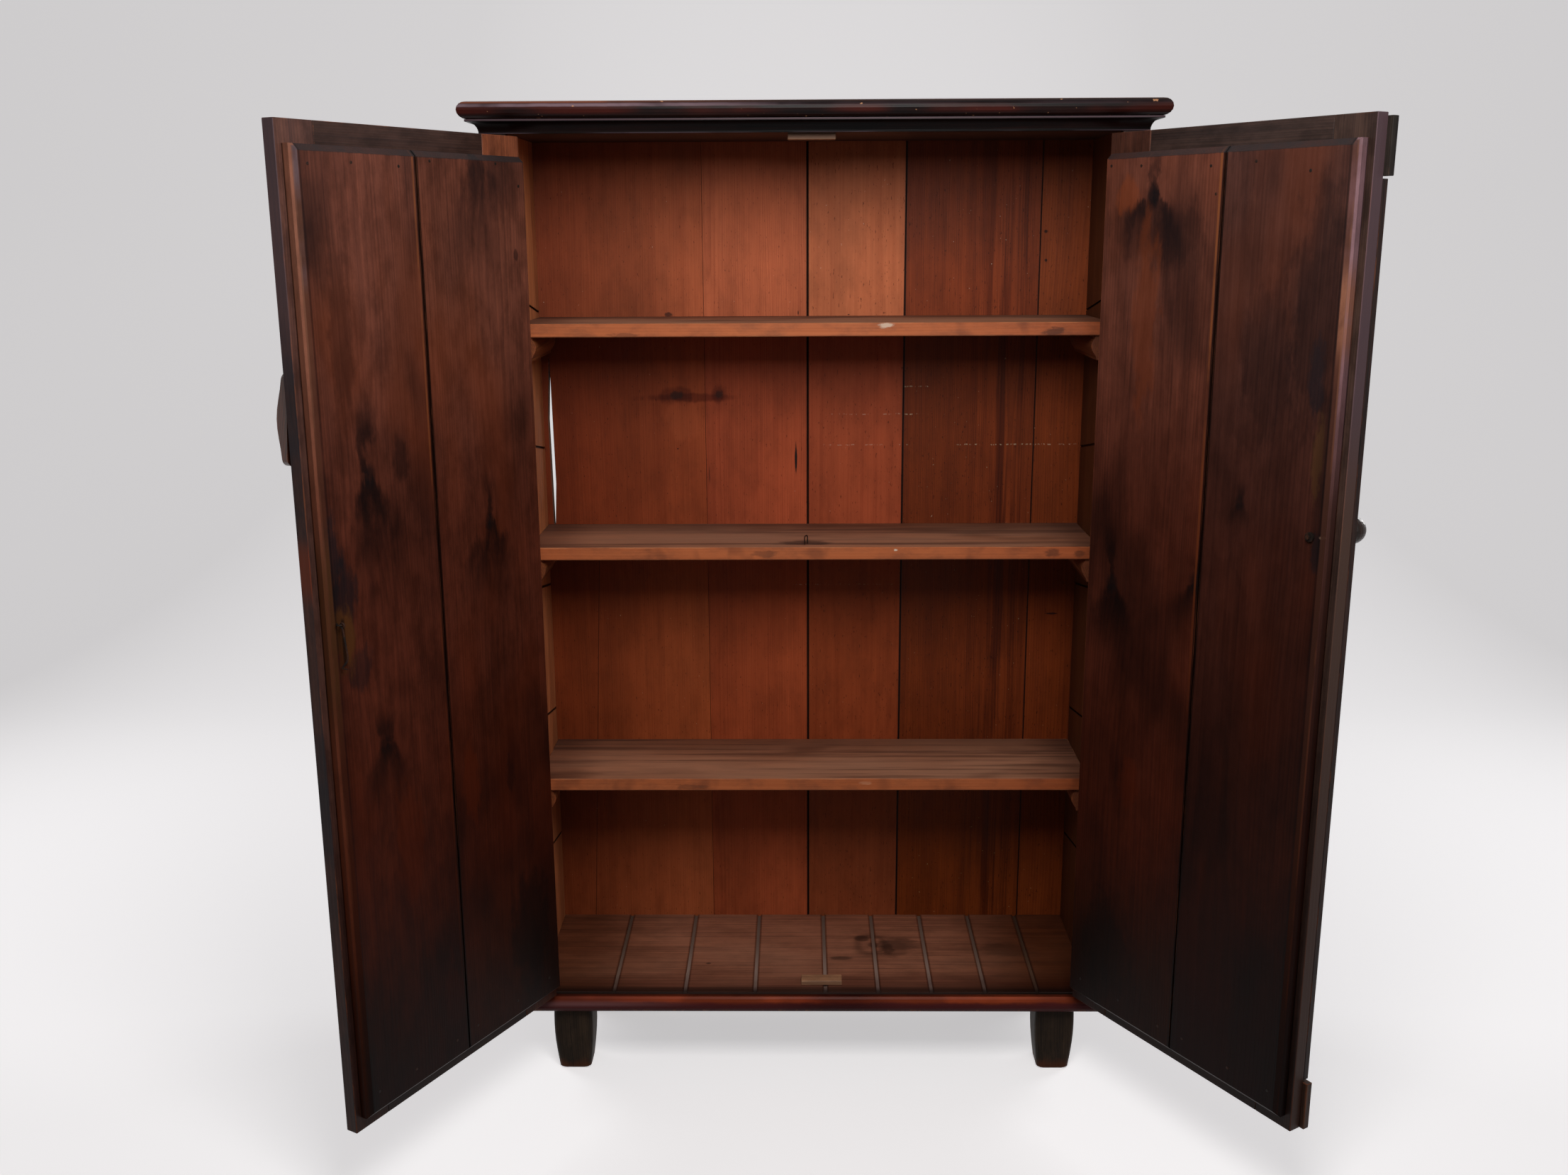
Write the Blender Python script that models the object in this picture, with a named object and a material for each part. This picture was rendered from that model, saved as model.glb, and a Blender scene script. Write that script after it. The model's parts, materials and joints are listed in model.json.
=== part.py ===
"""Two-door shelf cupboard of stained pine, standing with both doors open.

Everything is first laid out with the doors closed: x = 0 is the middle of the
carcass, y = 0 the front plane of its stiles with y growing towards the back,
and z = 0 the floor. The doors are then swung open on their hinge empties, and
the root empty puts the middle of the footprint on the origin.
"""
import math

import bmesh
import bpy
import numpy as np
from mathutils import Matrix, Vector

# Clearances and small shared sizes
SEAT_GAP = 0.0003
ARRIS = 0.0008
OVERRUN = 0.004

# Carcass
CARCASS_HALF_WIDTH = 0.496
SIDE_THICKNESS = 0.024
FRONT_STILE_WIDTH = 0.036
FRONT_STILE_THICKNESS = 0.021
INNER_DEPTH = 0.292
BACK_THICKNESS = 0.018
OVERALL_HEIGHT = 1.610
CAP_THICKNESS = 0.025
CAP_OVERHANG = 0.0295
CEILING_THICKNESS = 0.0157
TOP_RAIL_HEIGHT = 0.0197
FLOOR_THICKNESS = 0.019
CARCASS_BOTTOM = 0.1205
FLOOR_RISE = 0.0155

# Saw kerfs that cross the inner faces of the sides and fall towards the back
KERF_WIDTH = 0.003
KERF_DEPTH = 0.003
KERF_FALL = math.radians(10.0)
KERF_MIDDLE_Y = 0.160
KERF_MIDDLE_HEIGHTS = (1.311, 1.075, 0.8285, 0.5945, 0.3485)

# Back boards: each joint's place as a share of the half width, and how far it stands open
BACK_JOINT_SHARES = (-0.3776, -0.0153, 0.3218, 0.7849)
BACK_JOINT_OPENINGS = (0.0006, 0.0030, 0.0014, 0.0010)
BACK_LAP = 0.007
SLOT_FROM_SIDE = 0.0075
SLOT_WIDTH = 0.0095
SLOT_LOW = 0.868
SLOT_HIGH = 1.222
SLOT_TAPER_HEIGHT = 0.120
SLOT_TAPER_SHARE = 0.35

# Shallow channels in the floor, as shares of the half width between the sides
CHANNEL_SHARES = (-0.7265, -0.4672, -0.2129, 0.0439, 0.2354, 0.4288, 0.6231, 0.8119)
CHANNEL_WIDTH = 0.006
CHANNEL_DEPTH = 0.0025

# Shelves and their moulded bearers
SHELF_TOPS = (1.280, 0.915, 0.509)
SHELF_THICKNESS = 0.0213
SHELF_FRONT = 0.088
BEARER_FRONT = 0.094
BEARER_BACK = 0.288
BEARER_HEIGHT = 0.039
BEARER_TOP_WIDTH = 0.021
BEARER_BELLY_WIDTH = 0.028
BEARER_FOOT_WIDTH = 0.018
BEARER_BELLY_DROP = 0.018
BEARER_FILLET = 0.004

# Cornice and base mouldings
COVE_HEIGHT = 0.020
COVE_PROJECTION = 0.017
COVE_FILLET_HEIGHT = 0.0035
COVE_FILLET_STEP = 0.003
COVE_BACKING = 0.003
NOSING_HEIGHT = 0.030
NOSING_PROJECTION = 0.0125
MOULDING_STEPS = 8

# Feet
FOOT_HALF_WIDTH = 0.0335
FOOT_TOP_HALF_WIDTH = 0.0320
FOOT_BOTTOM_HALF_WIDTH = 0.0275
FOOT_CORNER = 0.009
FOOT_INSET_X = 0.0456
FOOT_INSET_Y = 0.0075
FOOT_CORNER_STEPS = 3

# Small blocks that stop the doors
FLOOR_BLOCK_LEFT = -0.021
FLOOR_BLOCK_WIDTH = 0.070
FLOOR_BLOCK_HEIGHT = 0.008
TOP_BLOCK_LEFT = -0.039
TOP_BLOCK_WIDTH = 0.0725
TOP_BLOCK_HEIGHT = 0.013
BLOCK_DEPTH = 0.024
BLOCK_SETBACK = 0.0015

# Doors
HINGE_GAP = 0.003
MEETING_GAP = 0.002
DOOR_FLOOR_GAP = 0.003
DOOR_TOP_GAP = 0.005
DOOR_THICKNESS = 0.020
HINGE_STILE_WIDTH = 0.079
FREE_STILE_WIDTH = 0.063
DOOR_TOP_RAIL_WIDTH = 0.088
DOOR_BOTTOM_RAIL_WIDTH = 0.112
LEFT_OPEN_ANGLE = math.radians(119.6)
RIGHT_OPEN_ANGLE = math.radians(122.3)

# Backing boards nailed inside each door
LINING_THICKNESS = 0.019
LINING_SQUARE_EDGE = 0.011
LINING_BEVEL_WIDTH = 0.008
LINING_HINGE_SETBACK = 0.014
LINING_FREE_SETBACK = 0.010
LINING_TOP_SETBACK = 0.030
LINING_BOTTOM_SETBACK = 0.022
LINING_JOINT_OPENING = 0.003
LEFT_LINING_JOINT_SHARE = 0.5175
RIGHT_LINING_JOINT_SHARE = 0.5219

# Butt hinges
PIN_PROUD = 0.0045
BARREL_RADIUS = 0.004
HINGE_PIN_RADIUS = 0.0016
HINGE_PIN_TIP = 0.0015
HINGE_BORE_CLEARANCE = 0.0003
LEAF_THICKNESS = 0.001
LEAF_REACH = 0.018
HINGE_LENGTH = 0.076
KNUCKLE_COUNT = 5
KNUCKLE_GAP = 0.0004
TOP_HINGE_DROP = 0.150
BOTTOM_HINGE_RISE = 0.170
HINGE_SEGMENTS = 12

# Meeting strip on the outer face of the right door
STRIP_WIDTH = 0.048
STRIP_THICKNESS = 0.010
STRIP_END_THICKNESS = 0.0108
STRIP_LIP = 0.007
STRIP_TOP_LENGTH = 0.0716
STRIP_TOP_SETBACK = 0.004
STRIP_BOTTOM_LENGTH = 0.073
STRIP_BREAK = 0.003

# Knob and its bolt on the right door
KNOB_FROM_EDGE = 0.033
KNOB_HEIGHT = 1.029
KNOB_BALL_RADIUS = 0.019
KNOB_NECK_LENGTH = 0.032
KNOB_NECK_RADIUS = 0.0085
KNOB_FLARE_RADIUS = 0.0115
KNOB_BORE_DEPTH = 0.016
BOLT_RADIUS = 0.003
BOLT_NUT_RADIUS = 0.0065
BOLT_NUT_THICKNESS = 0.0035
BOLT_CLEARANCE = 0.0003
KNOB_SEGMENTS = 28

# Turn-button on the outer face of the left door
BUTTON_FROM_EDGE = 0.026
BUTTON_HEIGHT = 1.186
BUTTON_LENGTH = 0.121
BUTTON_WIDTH = 0.032
BUTTON_CORNER = 0.009
BUTTON_END_THICKNESS = 0.0125
BUTTON_MIDDLE_THICKNESS = 0.022
BUTTON_CROWN = 0.003
BUTTON_TILT = math.radians(5.0)
BUTTON_STRIP_CLEARANCE = 0.001
BUTTON_BOSS_RADIUS = 0.012
BUTTON_SCREW_RADIUS = 0.0025
BUTTON_SCREW_HEAD_RADIUS = 0.0052
BUTTON_SCREW_HEAD_HEIGHT = 0.0022
BUTTON_BORE_CLEARANCE = 0.0003

# Hook, its screw-eye on the left door and the staple on the middle shelf
HOOK_FROM_EDGE = 0.0195
HOOK_ABOVE_SHELF = 0.0035
HOOK_WIRE_RADIUS = 0.0012
HOOK_EYE_RADIUS = 0.0034
HOOK_EYE_SAG = 0.0007
HOOK_SHANK_DROP = 0.0465
HOOK_SHANK_LEAN = 0.0064
HOOK_BEND_RADIUS = 0.006
HOOK_TIP_DROP = 0.0140
HOOK_TIP_RETURN = 0.0130
EYE_WIRE_RADIUS = 0.0012
EYE_RING_RADIUS = 0.0042
EYE_STEM_LENGTH = 0.0015
WIRE_SIDES = 8
STAPLE_X = -0.0116
STAPLE_SETBACK = 0.024
STAPLE_HEIGHT = 0.016
STAPLE_SPREAD = 0.009
STAPLE_TURN = math.radians(57.0)
STAPLE_WIRE_RADIUS = 0.0011

# Heights and planes worked out from the sizes above
CAP_UNDERSIDE = OVERALL_HEIGHT - CAP_THICKNESS
CEILING_UNDERSIDE = CAP_UNDERSIDE - SEAT_GAP - CEILING_THICKNESS
TOP_RAIL_BOTTOM = CAP_UNDERSIDE - SEAT_GAP - TOP_RAIL_HEIGHT
FLOOR_UNDERSIDE = CARCASS_BOTTOM + FLOOR_RISE
FLOOR_TOP = FLOOR_UNDERSIDE + FLOOR_THICKNESS
SIDE_INNER_X = CARCASS_HALF_WIDTH - SIDE_THICKNESS
STILE_INNER_X = CARCASS_HALF_WIDTH - FRONT_STILE_WIDTH
BACK_PLANE = INNER_DEPTH + BACK_THICKNESS
DOOR_HINGE_X = STILE_INNER_X - HINGE_GAP
DOOR_WIDTH = DOOR_HINGE_X - MEETING_GAP / 2
DOOR_BOTTOM = FLOOR_TOP + DOOR_FLOOR_GAP
DOOR_TOP = TOP_RAIL_BOTTOM - DOOR_TOP_GAP
PIN_X = STILE_INNER_X - HINGE_GAP / 2
LINING_BACK = DOOR_THICKNESS + SEAT_GAP
LINING_FACE = LINING_BACK + LINING_THICKNESS
BUTTON_BACK = STRIP_THICKNESS + SEAT_GAP + BUTTON_STRIP_CLEARANCE
HOOK_PIVOT_OUT = EYE_STEM_LENGTH + EYE_WIRE_RADIUS + 2 * EYE_RING_RADIUS
HOOK_PIVOT_HEIGHT = SHELF_TOPS[1] + HOOK_ABOVE_SHELF

anchors = {}


def clear_scene():
    for item in list(bpy.data.objects):
        bpy.data.objects.remove(item, do_unlink=True)


def paint(name, colour, roughness, metallic=0.0):
    """A Principled material in one plain colour."""
    material = bpy.data.materials.new(name)
    material.use_nodes = True
    shader = material.node_tree.nodes["Principled BSDF"]
    shader.inputs["Base Color"].default_value = (*colour, 1.0)
    shader.inputs["Roughness"].default_value = roughness
    shader.inputs["Metallic"].default_value = metallic
    material.diffuse_color = (*colour, 1.0)
    return material


def pivot(name, anchor, parent=None, turn=0.0, axis="Z"):
    """An empty on a joint's axis; anchor is its place with the doors closed."""
    empty = bpy.data.objects.new(name, None)
    bpy.context.collection.objects.link(empty)
    anchor = Vector(anchor)
    anchors[name] = anchor
    empty.location = anchor - (anchors[parent.name] if parent else Vector())
    empty.rotation_euler["XYZ".index(axis)] = turn
    empty.parent = parent
    return empty


def add_piece(name, mesh_data, centre, material, parent):
    """Links a mesh as an object whose origin is at centre, doors closed."""
    bmesh.ops.recalc_face_normals(mesh_data, faces=mesh_data.faces)
    mesh = bpy.data.meshes.new(name)
    mesh_data.to_mesh(mesh)
    mesh_data.free()
    mesh.materials.append(material)
    piece = bpy.data.objects.new(name, mesh)
    bpy.context.collection.objects.link(piece)
    piece.location = Vector(centre) - anchors[parent.name]
    piece.parent = parent
    return piece


def chamfered_box(low, high, arris=ARRIS):
    """A box between two corners, about its own middle, with its arrises broken."""
    size = [high[i] - low[i] for i in range(3)]
    box = bmesh.new()
    bmesh.ops.create_cube(box, size=1.0)
    bmesh.ops.scale(box, vec=size, verts=box.verts)
    if arris:
        bmesh.ops.bevel(box, geom=box.edges[:], offset=arris, segments=1, affect="EDGES")
    return box


def board(name, low, high, material, parent, arris=ARRIS):
    """A sawn board between two corners given in either order."""
    low, high = [min(pair) for pair in zip(low, high)], [max(pair) for pair in zip(low, high)]
    centre = [(low[i] + high[i]) / 2 for i in range(3)]
    return add_piece(name, chamfered_box(low, high, arris), centre, material, parent)


def loft_into(shape, rings):
    """Adds a closed skin through rings of points, each ring with as many points."""
    rows = [[shape.verts.new(point) for point in ring] for ring in rings]
    count = len(rows[0])
    for lower, upper in zip(rows, rows[1:]):
        for i in range(count):
            j = (i + 1) % count
            shape.faces.new((lower[i], lower[j], upper[j], upper[i]))
    shape.faces.new(rows[0][::-1])
    shape.faces.new(rows[-1])


def lofted(name, rings, material, parent, centre=None):
    """A solid through rings of points laid out in the closed cupboard."""
    points = np.array([point for ring in rings for point in ring])
    if centre is None:
        centre = (points.min(axis=0) + points.max(axis=0)) / 2
    shape = bmesh.new()
    loft_into(shape, [[Vector(point) - Vector(centre) for point in ring] for ring in rings])
    return add_piece(name, shape, centre, material, parent)


def smooth(piece, angle=math.radians(35.0)):
    piece.data.shade_smooth()
    piece.data.set_sharp_from_angle(angle=angle)
    return piece


def turned_rings(profile, centre, axis, segments):
    """Rings of a turned shape; profile holds (radius, distance along axis)."""
    axis = Vector(axis).normalized()
    side = axis.orthogonal().normalized()
    other = axis.cross(side)
    turns = [2 * math.pi * i / segments for i in range(segments)]
    return [
        [Vector(centre) + axis * along + (side * math.cos(t) + other * math.sin(t)) * radius
         for t in turns]
        for radius, along in profile
    ]


def turned(name, profile, centre, axis, segments, material, parent):
    """A turned solid; points on the axis are closed into a pole."""
    shape = bmesh.new()
    rings = turned_rings(profile, (0, 0, 0), axis, segments)
    loft_into(shape, rings)
    bmesh.ops.remove_doubles(shape, verts=shape.verts, dist=SEAT_GAP / 100)
    return smooth(add_piece(name, shape, centre, material, parent))


def wire_rings(points, radius, sides=WIRE_SIDES):
    """Rings of a bent wire, carried along the points without twisting."""
    points = [Vector(point) for point in points]
    heading = (points[1] - points[0]).normalized()
    side = heading.orthogonal().normalized()
    rings = []
    for i, point in enumerate(points):
        before = points[max(i - 1, 0)]
        after = points[min(i + 1, len(points) - 1)]
        new_heading = (after - before).normalized()
        side.rotate(heading.rotation_difference(new_heading))
        heading = new_heading
        other = heading.cross(side)
        turns = [2 * math.pi * k / sides for k in range(sides)]
        rings.append([point + (side * math.cos(t) + other * math.sin(t)) * radius for t in turns])
    return rings


def arc(centre, radius, start, end, steps):
    """Points of an arc in a plane, as (across, up) pairs."""
    angles = [start + (end - start) * i / steps for i in range(steps + 1)]
    return [(centre[0] + radius * math.cos(a), centre[1] + radius * math.sin(a)) for a in angles]


def combine(piece, others, operation):
    """Joins or cuts piece with others, which are then removed."""
    for other in others:
        modifier = piece.modifiers.new(operation.lower(), "BOOLEAN")
        modifier.operation = operation
        modifier.solver = "EXACT"
        modifier.object = other
    bpy.context.view_layer.update()
    evaluated = piece.evaluated_get(bpy.context.evaluated_depsgraph_get())
    mesh = bpy.data.meshes.new_from_object(evaluated)
    piece.modifiers.clear()
    piece.data = mesh
    for other in others:
        bpy.data.objects.remove(other, do_unlink=True)
    return piece


def drill(piece, centre, axis, radius, length, segments=16):
    """Cuts a round hole whose middle is at centre."""
    profile = ((radius, -length / 2), (radius, length / 2))
    cutter = turned("cutter", profile, centre, axis, segments, piece.data.materials[0], piece.parent)
    return combine(piece, [cutter], "DIFFERENCE")


def lapped_outlines(joints, left, right, thickness, lap):
    """Sections of boards side by side, each with a lap behind its right neighbour.

    joints holds (place, opening) pairs and a section's points are (across, up
    from the back).
    """
    level = thickness / 2
    edges = [(left, 0.0), *joints, (right, 0.0)]
    outlines = []
    for i, ((a, a_open), (b, b_open)) in enumerate(zip(edges, edges[1:])):
        start, end = a + a_open / 2, b - b_open / 2
        if i == 0:
            points = [(start, 0.0), (start, thickness)]
        else:
            under = start + lap + SEAT_GAP
            rebate = level + SEAT_GAP
            points = [(under, 0.0), (under, rebate), (start, rebate), (start, thickness)]
        if i == len(edges) - 2:
            points += [(end, thickness), (end, 0.0)]
        else:
            reach = b + b_open / 2 + lap
            points += [(end, thickness), (end, level), (reach, level), (reach, 0.0)]
        outlines.append(points)
    return outlines


def bearer_outline():
    """Moulded section of a shelf bearer, as (out from the wall, down from its top)."""
    belly_top = BEARER_FILLET
    belly_length = BEARER_HEIGHT - 2 * BEARER_FILLET
    bulge_power = math.log(0.5) / math.log((BEARER_BELLY_DROP - belly_top) / belly_length)
    points = [(0.0, 0.0), (BEARER_TOP_WIDTH, 0.0)]
    for i in range(MOULDING_STEPS + 1):
        share = i / MOULDING_STEPS
        straight = BEARER_TOP_WIDTH + (BEARER_FOOT_WIDTH - BEARER_TOP_WIDTH) * share
        swell = (BEARER_BELLY_WIDTH - BEARER_TOP_WIDTH) * math.sin(math.pi * share ** bulge_power)
        points.append((straight + swell, belly_top + belly_length * share))
    points += [(BEARER_FOOT_WIDTH, BEARER_HEIGHT), (0.0, BEARER_HEIGHT)]
    return points


def cove_outline():
    """Cavetto under the cap, as (out from the carcass, height)."""
    bottom = CAP_UNDERSIDE - COVE_HEIGHT
    rise = COVE_HEIGHT - COVE_FILLET_HEIGHT
    reach = COVE_PROJECTION - COVE_BACKING
    points = [(SEAT_GAP, bottom)]
    for i in range(MOULDING_STEPS + 1):
        angle = math.pi / 2 * i / MOULDING_STEPS
        points.append((COVE_BACKING + reach * (1 - math.cos(angle)), bottom + rise * math.sin(angle)))
    outer = COVE_PROJECTION + COVE_FILLET_STEP
    points += [(outer, bottom + rise), (outer, CAP_UNDERSIDE - SEAT_GAP)]
    points.append((SEAT_GAP, CAP_UNDERSIDE - SEAT_GAP))
    return points


def nosing_outline():
    """Half-round nosing over the feet, as (out from the carcass, height)."""
    half = NOSING_HEIGHT / 2
    points = [(SEAT_GAP, CARCASS_BOTTOM)]
    for i in range(MOULDING_STEPS + 1):
        angle = math.pi * i / MOULDING_STEPS - math.pi / 2
        out = NOSING_PROJECTION / 4 + NOSING_PROJECTION * 3 / 4 * math.cos(angle)
        points.append((out, CARCASS_BOTTOM + half + half * math.sin(angle)))
    points.append((SEAT_GAP, CARCASS_BOTTOM + NOSING_HEIGHT))
    return points


def moulding_run(name, outline, material, parent):
    """A moulding mitred round the front corners and run back along both sides."""
    half, back = CARCASS_HALF_WIDTH, BACK_PLANE
    rings = [[(-half - out, back, up) for out, up in outline],
             [(-half - out, -out, up) for out, up in outline],
             [(half + out, -out, up) for out, up in outline],
             [(half + out, back, up) for out, up in outline]]
    return smooth(lofted(name, rings, material, parent))


def rounded_square(half, corner, steps):
    """Corners of a square with rounded corners, as (across, along) pairs."""
    points = []
    for quarter in range(4):
        start = quarter * math.pi / 2
        middle = (math.copysign(half - corner, math.cos(start + math.pi / 4)),
                  math.copysign(half - corner, math.sin(start + math.pi / 4)))
        points += arc(middle, corner, start, start + math.pi / 2, steps)
    return points


def foot(name, centre_x, centre_y, material, parent):
    """A bulged block foot that draws in towards the floor."""
    swell = FOOT_HALF_WIDTH - (FOOT_TOP_HALF_WIDTH + FOOT_BOTTOM_HALF_WIDTH) / 2
    eased = FOOT_CORNER / 3
    top = FLOOR_UNDERSIDE - SEAT_GAP
    levels = [(FOOT_BOTTOM_HALF_WIDTH - eased, 0.0)]
    for i in range(MOULDING_STEPS + 1):
        share = i / MOULDING_STEPS
        half = FOOT_BOTTOM_HALF_WIDTH + (FOOT_TOP_HALF_WIDTH - FOOT_BOTTOM_HALF_WIDTH) * share
        levels.append((half + swell * math.sin(math.pi * share), eased + (top - eased) * share))
    rings = [[(centre_x + across, centre_y + along, level)
              for across, along in rounded_square(half, FOOT_CORNER, FOOT_CORNER_STEPS)]
             for half, level in levels]
    smooth(lofted(name, rings, material, parent))


def cap_board(material, parent):
    """Top board with a half-round edge on the front and both sides."""
    radius = CAP_THICKNESS / 2
    rings = []
    for i in range(MOULDING_STEPS + 1):
        angle = math.pi * i / MOULDING_STEPS - math.pi / 2
        out = CAP_OVERHANG - radius + radius * math.cos(angle)
        level = CAP_UNDERSIDE + radius + radius * math.sin(angle)
        half = CARCASS_HALF_WIDTH + out
        rings.append([(-half, -out, level), (half, -out, level),
                      (half, BACK_PLANE, level), (-half, BACK_PLANE, level)])
    smooth(lofted("cap_board", rings, material, parent))


def side_panel(name, side, material, parent):
    """One side with five old saw kerfs across its inner face."""
    low = (side * SIDE_INNER_X, FRONT_STILE_THICKNESS + SEAT_GAP, CARCASS_BOTTOM)
    high = (side * CARCASS_HALF_WIDTH, INNER_DEPTH - SEAT_GAP, CAP_UNDERSIDE - SEAT_GAP)
    panel = board(name, low, high, material, parent)
    cutter = bmesh.new()
    for height in KERF_MIDDLE_HEIGHTS:
        kerf = bmesh.ops.create_cube(cutter, size=1.0)["verts"]
        bmesh.ops.scale(cutter, vec=(2 * KERF_DEPTH, 2 * INNER_DEPTH, KERF_WIDTH), verts=kerf)
        bmesh.ops.rotate(cutter, matrix=Matrix.Rotation(-KERF_FALL, 3, "X"), verts=kerf)
        bmesh.ops.translate(cutter, vec=(side * SIDE_INNER_X, KERF_MIDDLE_Y, height), verts=kerf)
    return combine(panel, [add_piece("kerfs", cutter, (0, 0, 0), material, parent)], "DIFFERENCE")


def back_boards(material, parent):
    """Upright lapped boards across the back; the first has a slot worn through."""
    joints = [(share * CARCASS_HALF_WIDTH, opening)
              for share, opening in zip(BACK_JOINT_SHARES, BACK_JOINT_OPENINGS)]
    outlines = lapped_outlines(joints, -CARCASS_HALF_WIDTH, CARCASS_HALF_WIDTH,
                               BACK_THICKNESS, BACK_LAP)
    boards = []
    for number, outline in enumerate(outlines, start=1):
        rings = [[(across, BACK_PLANE - up, level) for across, up in outline]
                 for level in (CARCASS_BOTTOM, CAP_UNDERSIDE - SEAT_GAP)]
        boards.append(lofted("back_board_%d" % number, rings, material, parent))
    start = SLOT_FROM_SIDE - SIDE_INNER_X
    end = start + SLOT_WIDTH
    taper = SLOT_WIDTH * SLOT_TAPER_SHARE
    slot = ((start + taper, SLOT_LOW), (end, SLOT_LOW + SLOT_TAPER_HEIGHT),
            (end - taper, SLOT_HIGH), (start, SLOT_HIGH - SLOT_TAPER_HEIGHT))
    rings = [[(across, depth, level) for across, level in slot]
             for depth in (INNER_DEPTH - OVERRUN, BACK_PLANE + OVERRUN)]
    combine(boards[0], [lofted("slot", rings, material, parent)], "DIFFERENCE")


def floor_panel(material, parent):
    """Floor with shallow channels from front to back, notched round the stiles."""
    half = SIDE_INNER_X - SEAT_GAP
    bed = FLOOR_TOP - CHANNEL_DEPTH
    outline = [(-half, FLOOR_UNDERSIDE), (-half, FLOOR_TOP)]
    for share in CHANNEL_SHARES:
        start = share * SIDE_INNER_X - CHANNEL_WIDTH / 2
        end = start + CHANNEL_WIDTH
        outline += [(start, FLOOR_TOP), (start, bed), (end, bed), (end, FLOOR_TOP)]
    outline += [(half, FLOOR_TOP), (half, FLOOR_UNDERSIDE)]
    rings = [[(across, depth, level) for across, level in outline]
             for depth in (0.0, INNER_DEPTH - SEAT_GAP)]
    panel = lofted("floor_panel", rings, material, parent)
    notches = []
    for side in (-1, 1):
        low = (side * (STILE_INNER_X - SEAT_GAP), -OVERRUN, FLOOR_UNDERSIDE - OVERRUN)
        high = (side * CARCASS_HALF_WIDTH, FRONT_STILE_THICKNESS + SEAT_GAP, FLOOR_TOP + OVERRUN)
        notches.append(board("notch", low, high, material, parent, arris=0))
    return combine(panel, notches, "DIFFERENCE")


def bearers(word, shelf_top, material, parent):
    """The two moulded bearers that carry one shelf."""
    top = shelf_top - SHELF_THICKNESS - SEAT_GAP
    wall = SIDE_INNER_X - SEAT_GAP
    for side, side_word in ((-1, "left"), (1, "right")):
        rings = [[(side * (wall - out), depth, top - down) for out, down in bearer_outline()]
                 for depth in (BEARER_FRONT, BEARER_BACK)]
        smooth(lofted("%s_shelf_%s_bearer" % (word, side_word), rings, material, parent))


def staple(material, parent):
    """A wire staple driven upright into the middle shelf."""
    radius = STAPLE_SPREAD / 2
    spring = STAPLE_HEIGHT - STAPLE_WIRE_RADIUS - radius
    bend = arc((0.0, spring), radius, math.pi, 0.0, MOULDING_STEPS)
    path = [(-radius, 0.0), *bend, (radius, 0.0)]
    along = Vector((math.cos(STAPLE_TURN), math.sin(STAPLE_TURN), 0.0))
    rings = wire_rings([along * across + Vector((0, 0, up)) for across, up in path], STAPLE_WIRE_RADIUS)
    shape = bmesh.new()
    loft_into(shape, rings)
    centre = (STAPLE_X, SHELF_FRONT + STAPLE_SETBACK, SHELF_TOPS[1] + SEAT_GAP)
    smooth(add_piece("shelf_staple", shape, centre, material, parent))


def carcass(root, paints):
    """Sides, stiles, rails, floor, ceiling, back, shelves, mouldings and feet."""
    pine, dark, iron = paints["pine"], paints["dark"], paints["iron"]
    top = CAP_UNDERSIDE - SEAT_GAP
    for side, word in ((-1, "left"), (1, "right")):
        side_panel(word + "_side", side, pine, root)
        board(word + "_front_stile", (side * STILE_INNER_X, 0.0, CARCASS_BOTTOM),
              (side * CARCASS_HALF_WIDTH, FRONT_STILE_THICKNESS, top), dark, root)
    between_stiles = STILE_INNER_X - SEAT_GAP
    between_sides = SIDE_INNER_X - SEAT_GAP
    behind_stiles = FRONT_STILE_THICKNESS + SEAT_GAP
    to_back = INNER_DEPTH - SEAT_GAP
    board("top_front_rail", (-between_stiles, 0.0, TOP_RAIL_BOTTOM),
          (between_stiles, FRONT_STILE_THICKNESS, top), dark, root)
    board("ceiling_board", (-between_sides, behind_stiles, CEILING_UNDERSIDE),
          (between_sides, to_back, top), pine, root)
    floor_panel(paints["floor"], root)
    back_boards(pine, root)
    for shelf_top, word in zip(SHELF_TOPS, ("top", "middle", "bottom")):
        board(word + "_shelf", (-between_sides, SHELF_FRONT, shelf_top - SHELF_THICKNESS),
              (between_sides, to_back, shelf_top), paints["shelf"], root)
        bearers(word, shelf_top, pine, root)
    cap_board(paints["cornice"], root)
    moulding_run("cornice_cove", cove_outline(), paints["cornice"], root)
    moulding_run("base_nosing", nosing_outline(), paints["cornice"], root)
    inset_x = CARCASS_HALF_WIDTH - FOOT_INSET_X - FOOT_HALF_WIDTH
    inset_y = FOOT_INSET_Y + FOOT_HALF_WIDTH
    for side, side_word in ((-1, "left"), (1, "right")):
        for centre_y, end_word in ((inset_y, "front"), (INNER_DEPTH - inset_y, "back")):
            foot("%s_%s_foot" % (end_word, side_word), side * inset_x, centre_y, paints["foot"], root)
    block_front = DOOR_THICKNESS + BLOCK_SETBACK
    block_back = block_front + BLOCK_DEPTH
    board("floor_stop_block", (FLOOR_BLOCK_LEFT, block_front, FLOOR_TOP + SEAT_GAP),
          (FLOOR_BLOCK_LEFT + FLOOR_BLOCK_WIDTH, block_back, FLOOR_TOP + FLOOR_BLOCK_HEIGHT),
          paints["block"], root)
    board("top_stop_block", (TOP_BLOCK_LEFT, behind_stiles, CEILING_UNDERSIDE - TOP_BLOCK_HEIGHT),
          (TOP_BLOCK_LEFT + TOP_BLOCK_WIDTH, block_back, CEILING_UNDERSIDE - SEAT_GAP),
          paints["block"], root)
    staple(iron, root)


def along_door(side, distance):
    """World x of a point that lies a distance from the closed door's hinge edge."""
    return side * (DOOR_HINGE_X - distance)


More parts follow.
